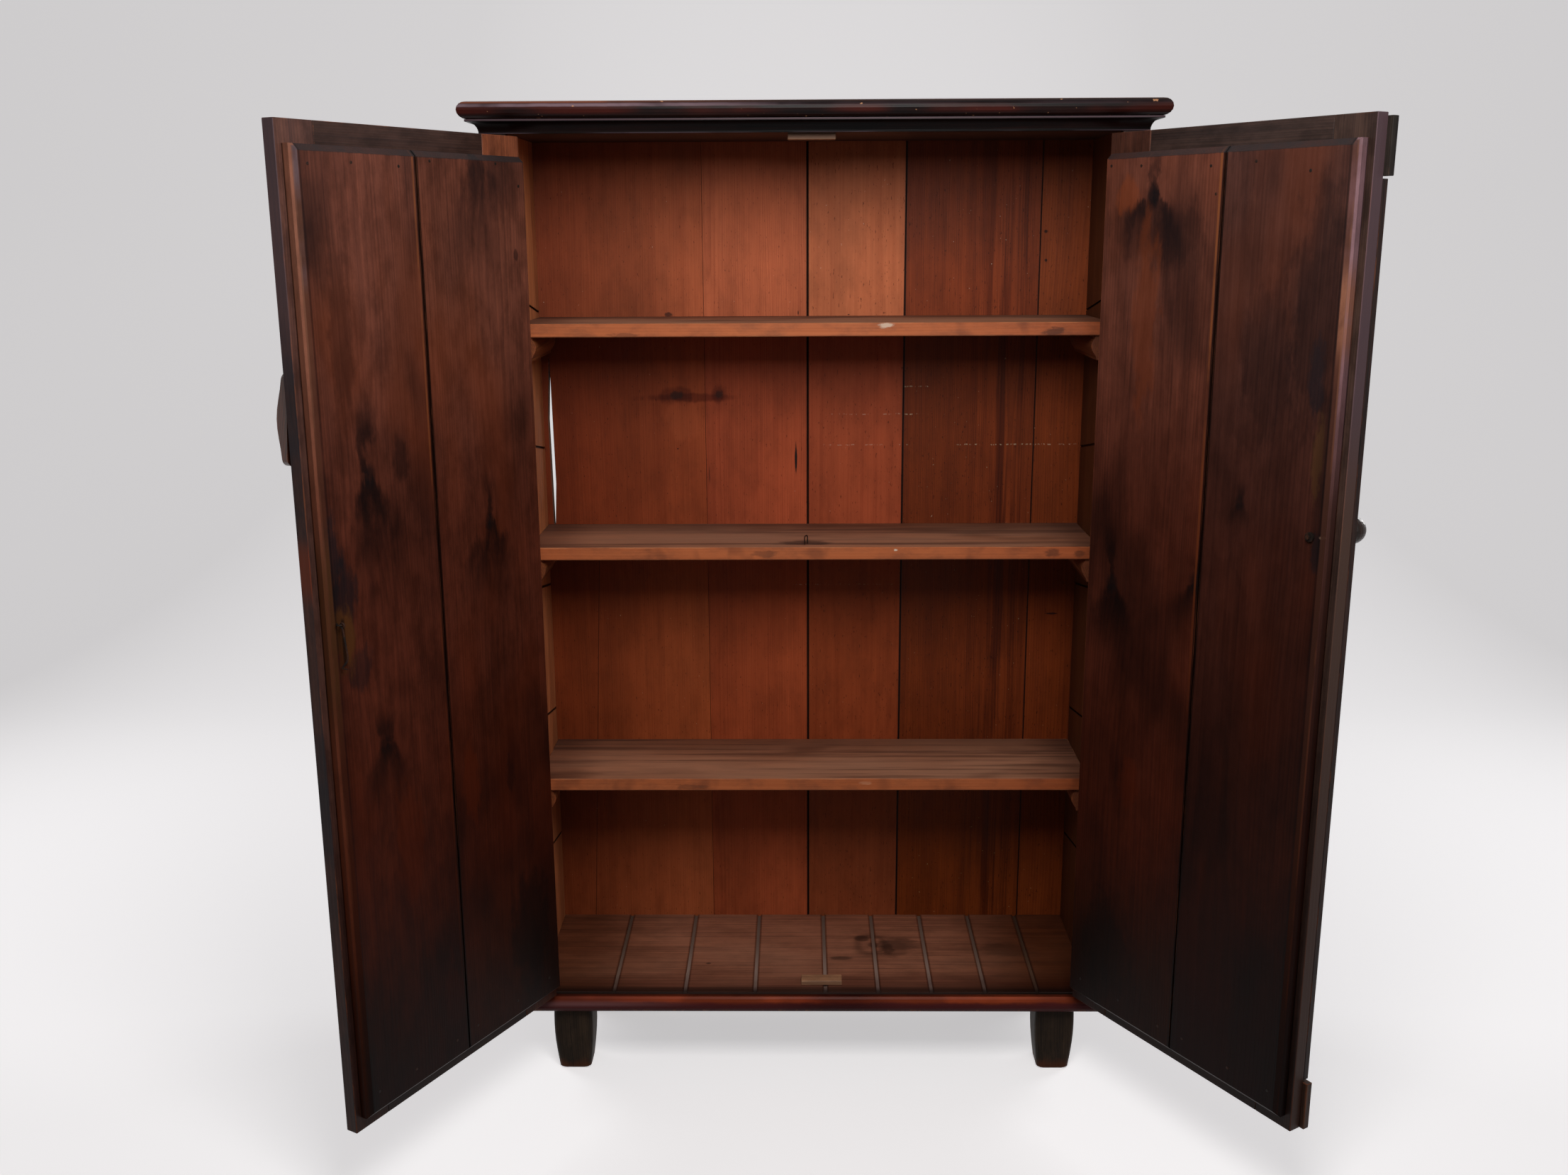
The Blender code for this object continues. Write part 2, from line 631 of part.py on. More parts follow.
def lining_board(name, side, start, end, bevel_free_edge, material, parent):
    """A backing board with a square edge and a bevel up to its face."""
    low = DOOR_BOTTOM + LINING_BOTTOM_SETBACK
    high = DOOR_TOP - LINING_TOP_SETBACK
    bevel = LINING_BEVEL_WIDTH
    levels = ((LINING_BACK, 0.0), (LINING_BACK + LINING_SQUARE_EDGE, 0.0), (LINING_FACE, bevel))
    rings = []
    for depth, inset in levels:
        far = end - (inset if bevel_free_edge else 0.0)
        rings.append([(along_door(side, start), depth, low + inset),
                      (along_door(side, far), depth, low + inset),
                      (along_door(side, far), depth, high - inset),
                      (along_door(side, start), depth, high - inset)])
    return lofted(name, rings, material, parent)


def door_leaf(word, side, joint_share, hinge_line, paints):
    """Frame and lining of one door; returns its free stile and outer lining board."""
    inner, outer = HINGE_STILE_WIDTH, DOOR_WIDTH - FREE_STILE_WIDTH

    def member(name, start, end, low, high):
        return board("%s_door_%s" % (word, name), (along_door(side, start), 0.0, low),
                     (along_door(side, end), DOOR_THICKNESS, high), paints["door"], hinge_line)

    member("hinge_stile", 0.0, inner, DOOR_BOTTOM, DOOR_TOP)
    free_stile = member("free_stile", outer, DOOR_WIDTH, DOOR_BOTTOM, DOOR_TOP)
    member("top_rail", inner + SEAT_GAP, outer - SEAT_GAP, DOOR_TOP - DOOR_TOP_RAIL_WIDTH, DOOR_TOP)
    member("bottom_rail", inner + SEAT_GAP, outer - SEAT_GAP, DOOR_BOTTOM,
           DOOR_BOTTOM + DOOR_BOTTOM_RAIL_WIDTH)
    lining_joint = joint_share * DOOR_WIDTH
    half_joint = LINING_JOINT_OPENING / 2
    lining_board(word + "_door_inner_board_1", side, LINING_HINGE_SETBACK,
                 lining_joint - half_joint, False, paints["lining"], hinge_line)
    outer_board = lining_board(word + "_door_inner_board_2", side, lining_joint + half_joint,
                               DOOR_WIDTH - LINING_FREE_SETBACK, True, paints["lining"], hinge_line)
    return free_stile, outer_board


def hinge_leaf(name, side, middle, on_door, material, parent):
    """One leaf of a butt hinge; the frame's leaf carries the pin, the door's is bored."""
    pitch = (HINGE_LENGTH + KNUCKLE_GAP) / KNUCKLE_COUNT
    bottom = middle - HINGE_LENGTH / 2
    spans = [(bottom + pitch * i, bottom + pitch * (i + 1) - KNUCKLE_GAP)
             for i in range(KNUCKLE_COUNT) if (i % 2 == 1) == on_door]
    plate_start = BARREL_RADIUS + 2 * KNUCKLE_GAP - PIN_PROUD
    comb = [(LEAF_REACH, bottom), (LEAF_REACH, bottom + HINGE_LENGTH)]
    if on_door:
        comb.append((plate_start, bottom + HINGE_LENGTH))
    for low, high in reversed(spans):
        comb += [(plate_start, high), (-PIN_PROUD, high), (-PIN_PROUD, low), (plate_start, low)]
    if on_door:
        comb.append((plate_start, bottom))
    else:
        comb = comb[:2] + comb[3:-1]
    near = HINGE_GAP / 2 - SEAT_GAP - LEAF_THICKNESS
    direction = -side if on_door else side
    rings = [[(side * PIN_X + direction * out, depth, level) for depth, level in comb]
             for out in (near, near + LEAF_THICKNESS)]
    centre = (side * PIN_X, -PIN_PROUD, middle)
    leaf = lofted(name, rings, material, parent, centre)
    barrel = [turned("knuckle", ((BARREL_RADIUS, low - middle), (BARREL_RADIUS, high - middle)),
                     centre, (0, 0, 1), HINGE_SEGMENTS, material, parent)
              for low, high in spans]
    if not on_door:
        half = HINGE_LENGTH / 2
        profile = [(HINGE_PIN_RADIUS, -half - HINGE_PIN_TIP), (HINGE_PIN_RADIUS, half + HINGE_PIN_TIP)]
        barrel.append(turned("pin", profile, centre, (0, 0, 1), HINGE_SEGMENTS, material, parent))
    combine(leaf, barrel, "UNION")
    if on_door:
        drill(leaf, centre, (0, 0, 1), HINGE_PIN_RADIUS + HINGE_BORE_CLEARANCE,
              HINGE_LENGTH + OVERRUN, HINGE_SEGMENTS)
    return smooth(leaf)


def hinges(root, door_lines, iron):
    """Two butt hinges a door, each a leaf on the stile and a leaf on the door."""
    heights = (("top", DOOR_TOP - TOP_HINGE_DROP), ("bottom", DOOR_BOTTOM + BOTTOM_HINGE_RISE))
    for side, word in ((-1, "left"), (1, "right")):
        for level, middle in heights:
            prefix = "%s_%s_hinge_" % (word, level)
            hinge_leaf(prefix + "frame_leaf", side, middle, False, iron, root)
            hinge_leaf(prefix + "door_leaf", side, middle, True, iron, door_lines[word])


def meeting_strip(line, paints):
    """Strip down the free edge of the right door, with lipped pieces at its ends."""
    outer = -SEAT_GAP
    start = DOOR_WIDTH - STRIP_WIDTH
    top_high = DOOR_TOP - STRIP_TOP_SETBACK
    top_low = top_high - STRIP_TOP_LENGTH
    bottom_high = DOOR_BOTTOM + STRIP_BOTTOM_LENGTH

    def length(name, end, thickness, low, high):
        return board(name, (along_door(1, start), outer - thickness, low),
                     (along_door(1, end), outer, high), paints["door"], line)

    lipped = DOOR_WIDTH + STRIP_LIP
    length("meeting_strip_top", lipped, STRIP_END_THICKNESS, top_low, top_high)
    length("meeting_strip_bottom", lipped, STRIP_END_THICKNESS, DOOR_BOTTOM, bottom_high)
    return length("meeting_strip_main", DOOR_WIDTH, STRIP_THICKNESS,
                  bottom_high + STRIP_BREAK, top_low - STRIP_BREAK)


def knob(line, bored_pieces, paints):
    """Turned wooden ball knob held by a bolt through the strip, stile and lining."""
    x = along_door(1, DOOR_WIDTH - KNOB_FROM_EDGE)
    base = -(STRIP_THICKNESS + 2 * SEAT_GAP)
    flare = KNOB_FLARE_RADIUS - KNOB_NECK_RADIUS
    profile = [(0.0, 0.0), (KNOB_FLARE_RADIUS, 0.0), (KNOB_FLARE_RADIUS, flare),
               (KNOB_NECK_RADIUS, 2 * flare)]
    join = math.acos(KNOB_NECK_RADIUS / KNOB_BALL_RADIUS)
    for out, along in arc((0.0, KNOB_NECK_LENGTH), KNOB_BALL_RADIUS, -join, math.pi / 2, 12):
        profile.append((max(out, 0.0), along))
    profile[-1] = (0.0, profile[-1][1])
    ball = turned("knob", profile, (x, base, KNOB_HEIGHT), (0, -1, 0), KNOB_SEGMENTS,
                  paints["knob"], line)
    hole = BOLT_RADIUS + BOLT_CLEARANCE
    drill(ball, (x, base, KNOB_HEIGHT), (0, -1, 0), hole, 2 * KNOB_BORE_DEPTH)
    smooth(ball)
    for piece in bored_pieces:
        drill(piece, (x, 0.0, KNOB_HEIGHT), (0, -1, 0), hole, 4 * LINING_FACE)
    seat = LINING_FACE + SEAT_GAP
    tip = base - KNOB_BORE_DEPTH + SEAT_GAP
    profile = [(0.0, tip), (BOLT_RADIUS, tip), (BOLT_RADIUS, seat), (BOLT_NUT_RADIUS, seat),
               (BOLT_NUT_RADIUS, seat + BOLT_NUT_THICKNESS), (BOLT_RADIUS, seat + BOLT_NUT_THICKNESS),
               (BOLT_RADIUS, seat + 2 * BOLT_NUT_THICKNESS), (0.0, seat + 2 * BOLT_NUT_THICKNESS)]
    turned("knob_bolt", profile, (x, 0.0, KNOB_HEIGHT), (0, 1, 0), 16, paints["iron"], line)


def turn_button(line, paints):
    """Wooden button that turns on a boss and holds the other door's strip."""
    x = along_door(-1, DOOR_WIDTH - BUTTON_FROM_EDGE)
    turn_line = pivot("turn_button_line", (x, 0.0, BUTTON_HEIGHT), line, -BUTTON_TILT, axis="Y")
    half_length, half_width = BUTTON_LENGTH / 2, BUTTON_WIDTH / 2
    ends = arc((half_length - BUTTON_CORNER, half_width - BUTTON_CORNER), BUTTON_CORNER,
               0.0, math.pi / 2, 4)
    stations = [(-along, wide) for along, wide in ends]
    straight = half_length - BUTTON_CORNER
    stations += [(-straight + 2 * straight * i / MOULDING_STEPS, half_width)
                 for i in range(1, MOULDING_STEPS)]
    stations += [(along, wide) for along, wide in reversed(ends)]
    rings = []
    for along, wide in stations:
        swell = math.cos(math.pi / 2 * along / half_length) ** 2
        thick = BUTTON_END_THICKNESS + (BUTTON_MIDDLE_THICKNESS - BUTTON_END_THICKNESS) * swell
        section = [(-wide, 0.0), (wide, 0.0), (wide, thick - BUTTON_CROWN),
                   (wide * 0.6, thick - BUTTON_CROWN / 4), (0.0, thick),
                   (-wide * 0.6, thick - BUTTON_CROWN / 4), (-wide, thick - BUTTON_CROWN)]
        rings.append([(x + across, -BUTTON_BACK - out, BUTTON_HEIGHT + along)
                      for across, out in section])
    body = lofted("turn_button", rings, paints["knob"], turn_line, centre=(x, 0.0, BUTTON_HEIGHT))
    drill(body, (x, -BUTTON_BACK, BUTTON_HEIGHT), (0, -1, 0),
          BUTTON_SCREW_RADIUS + BUTTON_BORE_CLEARANCE, 4 * BUTTON_MIDDLE_THICKNESS)
    smooth(body)
    head = BUTTON_BACK + BUTTON_MIDDLE_THICKNESS + SEAT_GAP
    boss_top = BUTTON_BACK - SEAT_GAP
    profile = [(0.0, SEAT_GAP), (BUTTON_BOSS_RADIUS, SEAT_GAP), (BUTTON_BOSS_RADIUS, boss_top),
               (BUTTON_SCREW_RADIUS, boss_top), (BUTTON_SCREW_RADIUS, head),
               (BUTTON_SCREW_HEAD_RADIUS, head),
               (BUTTON_SCREW_HEAD_RADIUS * 0.8, head + BUTTON_SCREW_HEAD_HEIGHT * 0.6),
               (0.0, head + BUTTON_SCREW_HEAD_HEIGHT)]
    turned("turn_button_screw", profile, (x, 0.0, BUTTON_HEIGHT), (0, -1, 0), 16, paints["iron"], line)


def rounded_path(points, radius, steps):
    """A bent wire's centre line with each inner corner eased."""
    points = [Vector(point) for point in points]
    path = [points[0]]
    for before, corner, after in zip(points, points[1:], points[2:]):
        start = corner + (before - corner).normalized() * radius
        end = corner + (after - corner).normalized() * radius
        for i in range(steps + 1):
            share = i / steps
            path.append(start * (1 - share) ** 2 + corner * 2 * share * (1 - share) + end * share ** 2)
    return path + [points[-1]]


def hook(line, paints):
    """Wire hook that hangs from a screw-eye on the left door's lining."""
    x = along_door(-1, DOOR_WIDTH - HOOK_FROM_EDGE)
    face = LINING_FACE + SEAT_GAP
    ring_middle = EYE_STEM_LENGTH + EYE_WIRE_RADIUS + EYE_RING_RADIUS
    ring = arc((0.0, ring_middle), EYE_RING_RADIUS, math.radians(-50.0), math.radians(225.0), 14)
    eye_path = [(0.0, 0.0), (0.0, EYE_STEM_LENGTH), *ring]
    rings = wire_rings([(across, out, 0.0) for across, out in eye_path], EYE_WIRE_RADIUS)
    shape = bmesh.new()
    loft_into(shape, rings)
    centre = (x, face, HOOK_PIVOT_HEIGHT)
    smooth(add_piece("hook_screw_eye", shape, centre, paints["iron"], line))

    swing = pivot("hook_line", (x, face + HOOK_PIVOT_OUT, HOOK_PIVOT_HEIGHT), line)
    loop = arc((0.0, -HOOK_EYE_SAG), HOOK_EYE_RADIUS, math.radians(-28.0), math.radians(245.0), 14)
    neck = (0.0, -HOOK_EYE_SAG - HOOK_EYE_RADIUS - HOOK_WIRE_RADIUS)
    bend = (HOOK_SHANK_LEAN, -HOOK_SHANK_DROP)
    tip = (HOOK_SHANK_LEAN - HOOK_TIP_RETURN, -HOOK_SHANK_DROP - HOOK_TIP_DROP)
    shank = rounded_path([(out, up, 0.0) for out, up in (neck, bend, tip)], HOOK_BEND_RADIUS, 6)
    path = [(0.0, out, up) for out, up in loop] + [(0.0, point.x, point.y) for point in shank]
    shape = bmesh.new()
    loft_into(shape, wire_rings(path, HOOK_WIRE_RADIUS))
    centre = (x, face + HOOK_PIVOT_OUT, HOOK_PIVOT_HEIGHT)
    smooth(add_piece("hook", shape, centre, paints["iron"], swing))


def stand_on_origin(root):
    """Moves the root so that the footprint's middle is the origin."""
    bpy.context.view_layer.update()
    corners = [piece.matrix_world @ vertex.co for piece in bpy.data.objects
               if piece.type == "MESH" for vertex in piece.data.vertices]
    points = np.array(corners)
    low, high = points.min(axis=0), points.max(axis=0)
    root.location = (-(low[0] + high[0]) / 2, -(low[1] + high[1]) / 2, -low[2])
    bpy.context.view_layer.update()


def main():
    clear_scene()
    paints = {
        "pine": paint("interior_pine", (0.235, 0.070, 0.030), 0.55),
        "shelf": paint("shelf_pine", (0.270, 0.105, 0.050), 0.60),
        "floor": paint("floor_pine", (0.165, 0.075, 0.045), 0.65),
        "dark": paint("carcass_dark_stain", (0.045, 0.016, 0.010), 0.40),
        "door": paint("door_frame_stain", (0.040, 0.015, 0.009), 0.42),
        "lining": paint("door_lining_stain", (0.055, 0.020, 0.011), 0.50),
        "cornice": paint("cornice_stain", (0.045, 0.013, 0.008), 0.30),
        "foot": paint("foot_stain", (0.012, 0.010, 0.009), 0.55),
        "block": paint("block_pine", (0.300, 0.125, 0.060), 0.65),
        "knob": paint("knob_and_button_wood", (0.050, 0.024, 0.012), 0.35),
        "iron": paint("old_iron", (0.050, 0.040, 0.035), 0.50, 0.8),
    }
    root = pivot("cupboard", (0, 0, 0))
    carcass(root, paints)
    lines = {
        "left": pivot("left_door_hinge_line", (-PIN_X, -PIN_PROUD, 0), root, -LEFT_OPEN_ANGLE),
        "right": pivot("right_door_hinge_line", (PIN_X, -PIN_PROUD, 0), root, RIGHT_OPEN_ANGLE),
    }
    door_leaf("left", -1, LEFT_LINING_JOINT_SHARE, lines["left"], paints)
    bored = door_leaf("right", 1, RIGHT_LINING_JOINT_SHARE, lines["right"], paints)
    hinges(root, lines, paints["iron"])
    strip = meeting_strip(lines["right"], paints)
    knob(lines["right"], [*bored, strip], paints)
    turn_button(lines["left"], paints)
    hook(lines["left"], paints)
    stand_on_origin(root)


main()
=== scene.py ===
"""Looks of an old two-door shelf cupboard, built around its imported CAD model.

Lengths are metres. The carcass frame has x from the middle of the carcass, y from its
front plane backwards and z from the floor. A door's frame has u from the hinge edge to
the free edge, w from the outer face inwards and z from the floor. Every CAD node keeps
its rest place in its object coordinates, so a finish moves with its piece.
"""

import json
import math

import bmesh
import bpy
from mathutils import Matrix, Vector

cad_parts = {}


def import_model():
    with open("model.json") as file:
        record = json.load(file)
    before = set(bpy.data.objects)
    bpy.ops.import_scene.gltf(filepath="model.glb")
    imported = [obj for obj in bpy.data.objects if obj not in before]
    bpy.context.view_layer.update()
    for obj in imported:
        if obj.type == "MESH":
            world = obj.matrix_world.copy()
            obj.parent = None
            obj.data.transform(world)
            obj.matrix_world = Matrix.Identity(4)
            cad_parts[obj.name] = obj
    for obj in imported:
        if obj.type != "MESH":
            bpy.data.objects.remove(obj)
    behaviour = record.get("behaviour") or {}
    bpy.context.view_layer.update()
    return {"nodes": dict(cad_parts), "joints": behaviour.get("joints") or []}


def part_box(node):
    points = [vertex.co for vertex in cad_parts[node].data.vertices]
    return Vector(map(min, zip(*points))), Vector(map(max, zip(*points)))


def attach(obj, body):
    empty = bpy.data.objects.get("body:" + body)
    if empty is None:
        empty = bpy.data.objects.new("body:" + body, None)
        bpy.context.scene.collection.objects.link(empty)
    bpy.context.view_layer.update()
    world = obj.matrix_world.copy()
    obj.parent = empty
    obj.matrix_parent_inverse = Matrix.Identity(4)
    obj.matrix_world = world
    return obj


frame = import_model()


def srgb(red, green, blue):
    """A colour from 0 to 255 a channel, as Blender's linear colour."""
    def linear(value):
        share = value / 255
        return share / 12.92 if share <= 0.04045 else ((share + 0.055) / 1.055) ** 2.4
    return (linear(red), linear(green), linear(blue), 1.0)


# Camera at the photograph's place
CAMERA_PLACE = Vector((-0.03798, -2.21978, 1.41992))
CAMERA_FORWARD = Vector((-0.011379, 0.971727, -0.235833))
CAMERA_UP = Vector((0.002106, 0.235871, 0.971782))
CAMERA_LENS = 33.5577
CAMERA_SENSOR = 36.0
CAMERA_CLIP = (0.05, 60.0)

# Studio
STUDIO_PALE = srgb(228, 226, 227)
STUDIO_UNSEEN = srgb(66, 64, 64)
STUDIO_GLOW = 0.68
AMBIENT_STRENGTH = 0.11
WORLD_SHOWN = 0.85
# A floor that turns up into a wall
STUDIO_HALF_WIDTH = 9.0
STUDIO_FRONT = -7.0
STUDIO_WALL = 3.6
STUDIO_HEIGHT = 7.0
STUDIO_BEND = 1.6
STUDIO_STEPS = 16
# Lamps, all turned to AIM: name, place, size, power and colour
LAMPS = (
    ("key", (0.08, -1.24, 1.99), 0.75, 20.8, (1.0, 0.985, 0.96)),
    ("fill", (1.4, -2.6, 2.1), 1.6, 4.0, (0.97, 0.98, 1.0)),
    ("left_behind", (-2.5, 1.5, 1.9), 1.2, 24.0, (1.0, 1.0, 1.0)),
    ("right_behind", (2.5, 1.5, 1.9), 1.2, 24.0, (1.0, 1.0, 1.0)),
)
AIM = Vector((0.0, 0.1, 1.20))

# Wood and metal colours
PINE_SHADE = srgb(84, 44, 28)
SHELF_LIGHT = srgb(194, 118, 78)
SHELF_DARK = srgb(130, 72, 47)
SHELF_EDGE = srgb(192, 102, 56)
SHELF_WORN = srgb(206, 136, 92)
DUST = srgb(152, 112, 90)
DUST_PALE = srgb(170, 124, 98)
FLOOR_LIGHT = srgb(178, 114, 86)
FLOOR_DARK = srgb(112, 68, 52)
LINING_LIGHT = srgb(120, 69, 54)
LINING_DARK = srgb(66, 38, 32)
LINING_RED = srgb(128, 62, 34)
STAIN_BLACK = srgb(17, 15, 17)
STAIN_BLUE = srgb(34, 35, 42)
# Lilac-grey painted highlights along the mouldings' edges
PAINTED_SHEEN_DIM = srgb(82, 68, 76)
PAINTED_SHEEN = srgb(132, 108, 116)
RAIL_LIGHT = srgb(66, 45, 38)
RAIL_DARK = srgb(40, 28, 26)
EDGE_WORN = srgb(140, 80, 52)
OUTER_LIGHT = srgb(98, 56, 38)
OUTER_DARK = srgb(52, 29, 22)
VARNISH_LIGHT = srgb(54, 24, 19)
VARNISH_DARK = srgb(18, 11, 12)
VARNISH_RED = srgb(146, 60, 34)
NOSING_ORANGE = srgb(182, 78, 42)
FOOT_LIGHT = srgb(70, 55, 43)
FOOT_DARK = srgb(32, 25, 20)
BLOCK_LIGHT = srgb(224, 166, 124)
BLOCK_DARK = srgb(150, 104, 76)
KNOB_LIGHT = srgb(92, 60, 40)
KNOB_DARK = srgb(44, 27, 20)
BUTTON_LIGHT = srgb(122, 68, 46)
BUTTON_DARK = srgb(66, 34, 24)
IRON_DARK = srgb(26, 20, 17)
IRON_RUST = srgb(64, 38, 27)
BACK_OUTSIDE = srgb(132, 98, 74)
RUBBED_BROWN = srgb(108, 76, 44)
OLIVE_BROWN = srgb(92, 66, 42)
CHIP_WHITE = srgb(224, 200, 178)
CRACK_BLACK = srgb(12, 8, 7)


# Frames of the bodies


class Place:
    """A body's own frame: where it starts, how far it is turned and whether it is mirrored."""

    def __init__(self, origin, turn=0.0, mirror=False):
        self.origin = Vector(origin)
        self.turn = turn
        self.mirror = mirror

    def point(self, across, depth, height):
        """The shared frame's point of a place in this frame."""
        sign = -1.0 if self.mirror else 1.0
        local = Vector((sign * across, depth, height))
        return self.origin + Matrix.Rotation(self.turn, 3, "Z") @ local

    def matrix(self):
        """Turns this frame's across, depth and height into the shared frame."""
        sign = -1.0 if self.mirror else 1.0
        turn = Matrix.Rotation(self.turn, 4, "Z")
        return Matrix.Translation(self.origin) @ turn @ Matrix.Diagonal((sign, 1.0, 1.0, 1.0))


# From a hinge pin to the door's hinge edge, and from the pin back to its outer face
PIN_TO_EDGE = 0.0015
PIN_PROUD = 0.0045


def door_joint(word):
    """The hinge joint of the left or the right door."""
    return next(joint for joint in frame["joints"] if joint["name"] == word + "_door_hinge")


def door_place(word, closed_end, mirror):
    """The frame of a door as it stands open at rest, from its hinge joint."""
    joint = door_joint(word)
    turn = -math.radians(joint["range_deg"][closed_end])
    pin = Vector((joint["pos_m"][0], joint["pos_m"][1], 0.0))
    corner = Vector((-PIN_TO_EDGE if mirror else PIN_TO_EDGE, PIN_PROUD, 0.0))
    return Place(pin + Matrix.Rotation(turn, 3, "Z") @ corner, turn, mirror)


side_low, side_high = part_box("left_side")[0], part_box("right_side")[1]
CARCASS = Place(((side_low.x + side_high.x) / 2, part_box("left_front_stile")[0].y, 0.0))
LEFT = door_place("left", 1, False)
RIGHT = door_place("right", 0, True)


# Node trees


class Value:
    """An output of a node. Its sums, products and so on are math nodes of the same tree."""

    def __init__(self, tree, socket):
        self.tree = tree
        self.socket = socket

    def __add__(self, other):
        return self.tree.math("ADD", self, other)

    def __radd__(self, other):
        return self.tree.math("ADD", other, self)

    def __sub__(self, other):
        return self.tree.math("SUBTRACT", self, other)

    def __rsub__(self, other):
        return self.tree.math("SUBTRACT", other, self)

    def __mul__(self, other):
        return self.tree.math("MULTIPLY", self, other)

    def __rmul__(self, other):
        return self.tree.math("MULTIPLY", other, self)

    def __truediv__(self, other):
        return self.tree.math("DIVIDE", self, other)

    def __abs__(self):
        return self.tree.math("ABSOLUTE", self)

    def steps(self, low, high, start=0.0, end=1.0):
        """A smooth step from start to end while this value goes from low to high."""
        inputs = {"Value": self, "From Min": low, "From Max": high, "To Min": start, "To Max": end}
        node = self.tree.node("ShaderNodeMapRange", inputs, interpolation_type="SMOOTHSTEP")
        return self.tree.out(node, "Result")

    def band(self, low, high, soft):
        """A mask that is 1 while this value lies from low to high."""
        return self.steps(low - soft, low + soft) * self.steps(high + soft, high - soft)


class Tree:
    """Short calls for a node tree. An input takes a Value, a socket or a plain number."""

    def __init__(self, tree):
        self.tree = tree

    def node(self, kind, inputs=None, **settings):
        node = self.tree.nodes.new(kind)
        for name, value in settings.items():
            setattr(node, name, value)
        for key, value in (inputs or {}).items():
            self.feed(node.inputs[key], value)
        return node

    def feed(self, socket, value):
        if isinstance(value, Value):
            value = value.socket
        if isinstance(value, bpy.types.NodeSocket):
            self.tree.links.new(value, socket)
        else:
            socket.default_value = value

    def out(self, node, key=0):
        return Value(self, node.outputs[key])

    def math(self, operation, first, second=0.0, clamp=False):
        inputs = {0: first, 1: second}
        return self.out(self.node("ShaderNodeMath", inputs, operation=operation, use_clamp=clamp))

    def lower(self, first, second):
        return self.math("MINIMUM", first, second)

    def higher(self, first, second):
        return self.math("MAXIMUM", first, second)

    def length(self, first, second):
        return self.math("SQRT", first * first + second * second)

    def split(self, vector):
        node = self.node("ShaderNodeSeparateXYZ", {0: vector})
        return [self.out(node, axis) for axis in range(3)]

    def join(self, x, y, z):
        return self.out(self.node("ShaderNodeCombineXYZ", {0: x, 1: y, 2: z}))

    def stretch(self, vector, scale, shift=(0.0, 0.0, 0.0)):
        """A vector times a scale, plus a shift."""
        inputs = {0: vector, 1: scale, 2: shift}
        return self.out(self.node("ShaderNodeVectorMath", inputs, operation="MULTIPLY_ADD"))

    def noise(self, vector, detail, roughness=0.5):
        """Noise from 0 to 1 of a vector that is already at its scale."""
        inputs = {"Vector": vector, "Scale": 1.0, "Detail": detail, "Roughness": roughness}
        return self.out(self.node("ShaderNodeTexNoise", inputs), "Fac")

    def mix(self, share, first, second, blend="MIX"):
        """A mix of two colours."""
        inputs = {0: share, 6: first, 7: second}
        return self.out(self.node("ShaderNodeMix", inputs, data_type="RGBA", blend_type=blend), 2)

    def blend_value(self, share, first, second):
        """A mix of two numbers."""
        return self.out(self.node("ShaderNodeMix", {0: share, 2: first, 3: second}, data_type="FLOAT"))


def cleared_tree(owner):
    """The emptied node tree of a material or a world."""
    owner.use_nodes = True
    owner.node_tree.nodes.clear()
    return Tree(owner.node_tree)


def new_group(name, inputs, outputs):
    """An empty node group: itself, its tree, its inputs by name and its output node.

    The inputs are a Vector and then floats, the outputs are floats.
    """
    group = bpy.data.node_groups.new(name, "ShaderNodeTree")
    group.interface.new_socket("Vector", in_out="INPUT", socket_type="NodeSocketVector")
    for label in inputs:
        group.interface.new_socket(label, in_out="INPUT", socket_type="NodeSocketFloat")
    for label in outputs:
        group.interface.new_socket(label, in_out="OUTPUT", socket_type="NodeSocketFloat")
    tree = Tree(group)
    given = {socket.name: Value(tree, socket) for socket in tree.node("NodeGroupInput").outputs}
    return group, tree, given, tree.node("NodeGroupOutput")


# Noises of a board's figure: scale across, through and along, detail and roughness
FIGURE_NOISES = {
    "Fibre": ((850.0, 850.0, 16.0), 3.0, 0.65),
    "Line": ((330.0, 330.0, 2.6), 3.0, 0.6),
    "Streak": ((60.0, 60.0, 1.8), 4.0, 0.6),
    "Mottle": ((38.0, 38.0, 17.0), 6.0, 0.68),
    "Cloud": ((7.0, 7.0, 2.8), 3.0, 0.55),
}


def figure_group():
    """Growth rings, fibres, streaks and clouds of a board.

    The vector is (across, through, along) in metres. Rings lie round a pith line that
    wanders, so a board shows straight lines or arches by where its heart is.
    """
    group, tree, given, out = new_group(
        "wood_figure", ("Seed", "Spacing", "Heart across", "Heart through", "Wander", "Bulge"),
        ("Late", *FIGURE_NOISES))
    vector, seed = given["Vector"], given["Seed"]
    shift = tree.join(seed * 7.31, seed * 3.17, seed * 5.73)
    slow = tree.noise(tree.stretch(vector, (3.0, 3.0, 1.3), shift), 2.0, 0.45)
    other_shift = tree.stretch(shift, (1.7, 2.3, 1.1))
    slow_through = tree.noise(tree.stretch(vector, (2.0, 2.0, 0.9), other_shift), 2.0)
    warp = tree.noise(tree.stretch(vector, (45.0, 45.0, 3.0), shift), 3.0, 0.6)
    across, through, _ = tree.split(vector)
    a = across - given["Heart across"] + (slow - 0.5) * given["Wander"]
    b = through - given["Heart through"] + (slow_through - 0.5) * given["Wander"]
    radius = tree.length(a, b)
    uneven = tree.noise(tree.join(radius * 55.0 + seed, seed, 0.0), 2.0)
    phase = radius / given["Spacing"] + (uneven * 3.0 + warp * 1.3) + given["Bulge"]
    ring = tree.math("FRACT", phase)
    tree.feed(out.inputs["Late"], ring.steps(0.25, 0.90) * ring.steps(1.0, 0.93))
    for label, (scale, detail, roughness) in FIGURE_NOISES.items():
        tree.feed(out.inputs[label], tree.noise(tree.stretch(vector, scale, shift), detail, roughness))
    return group


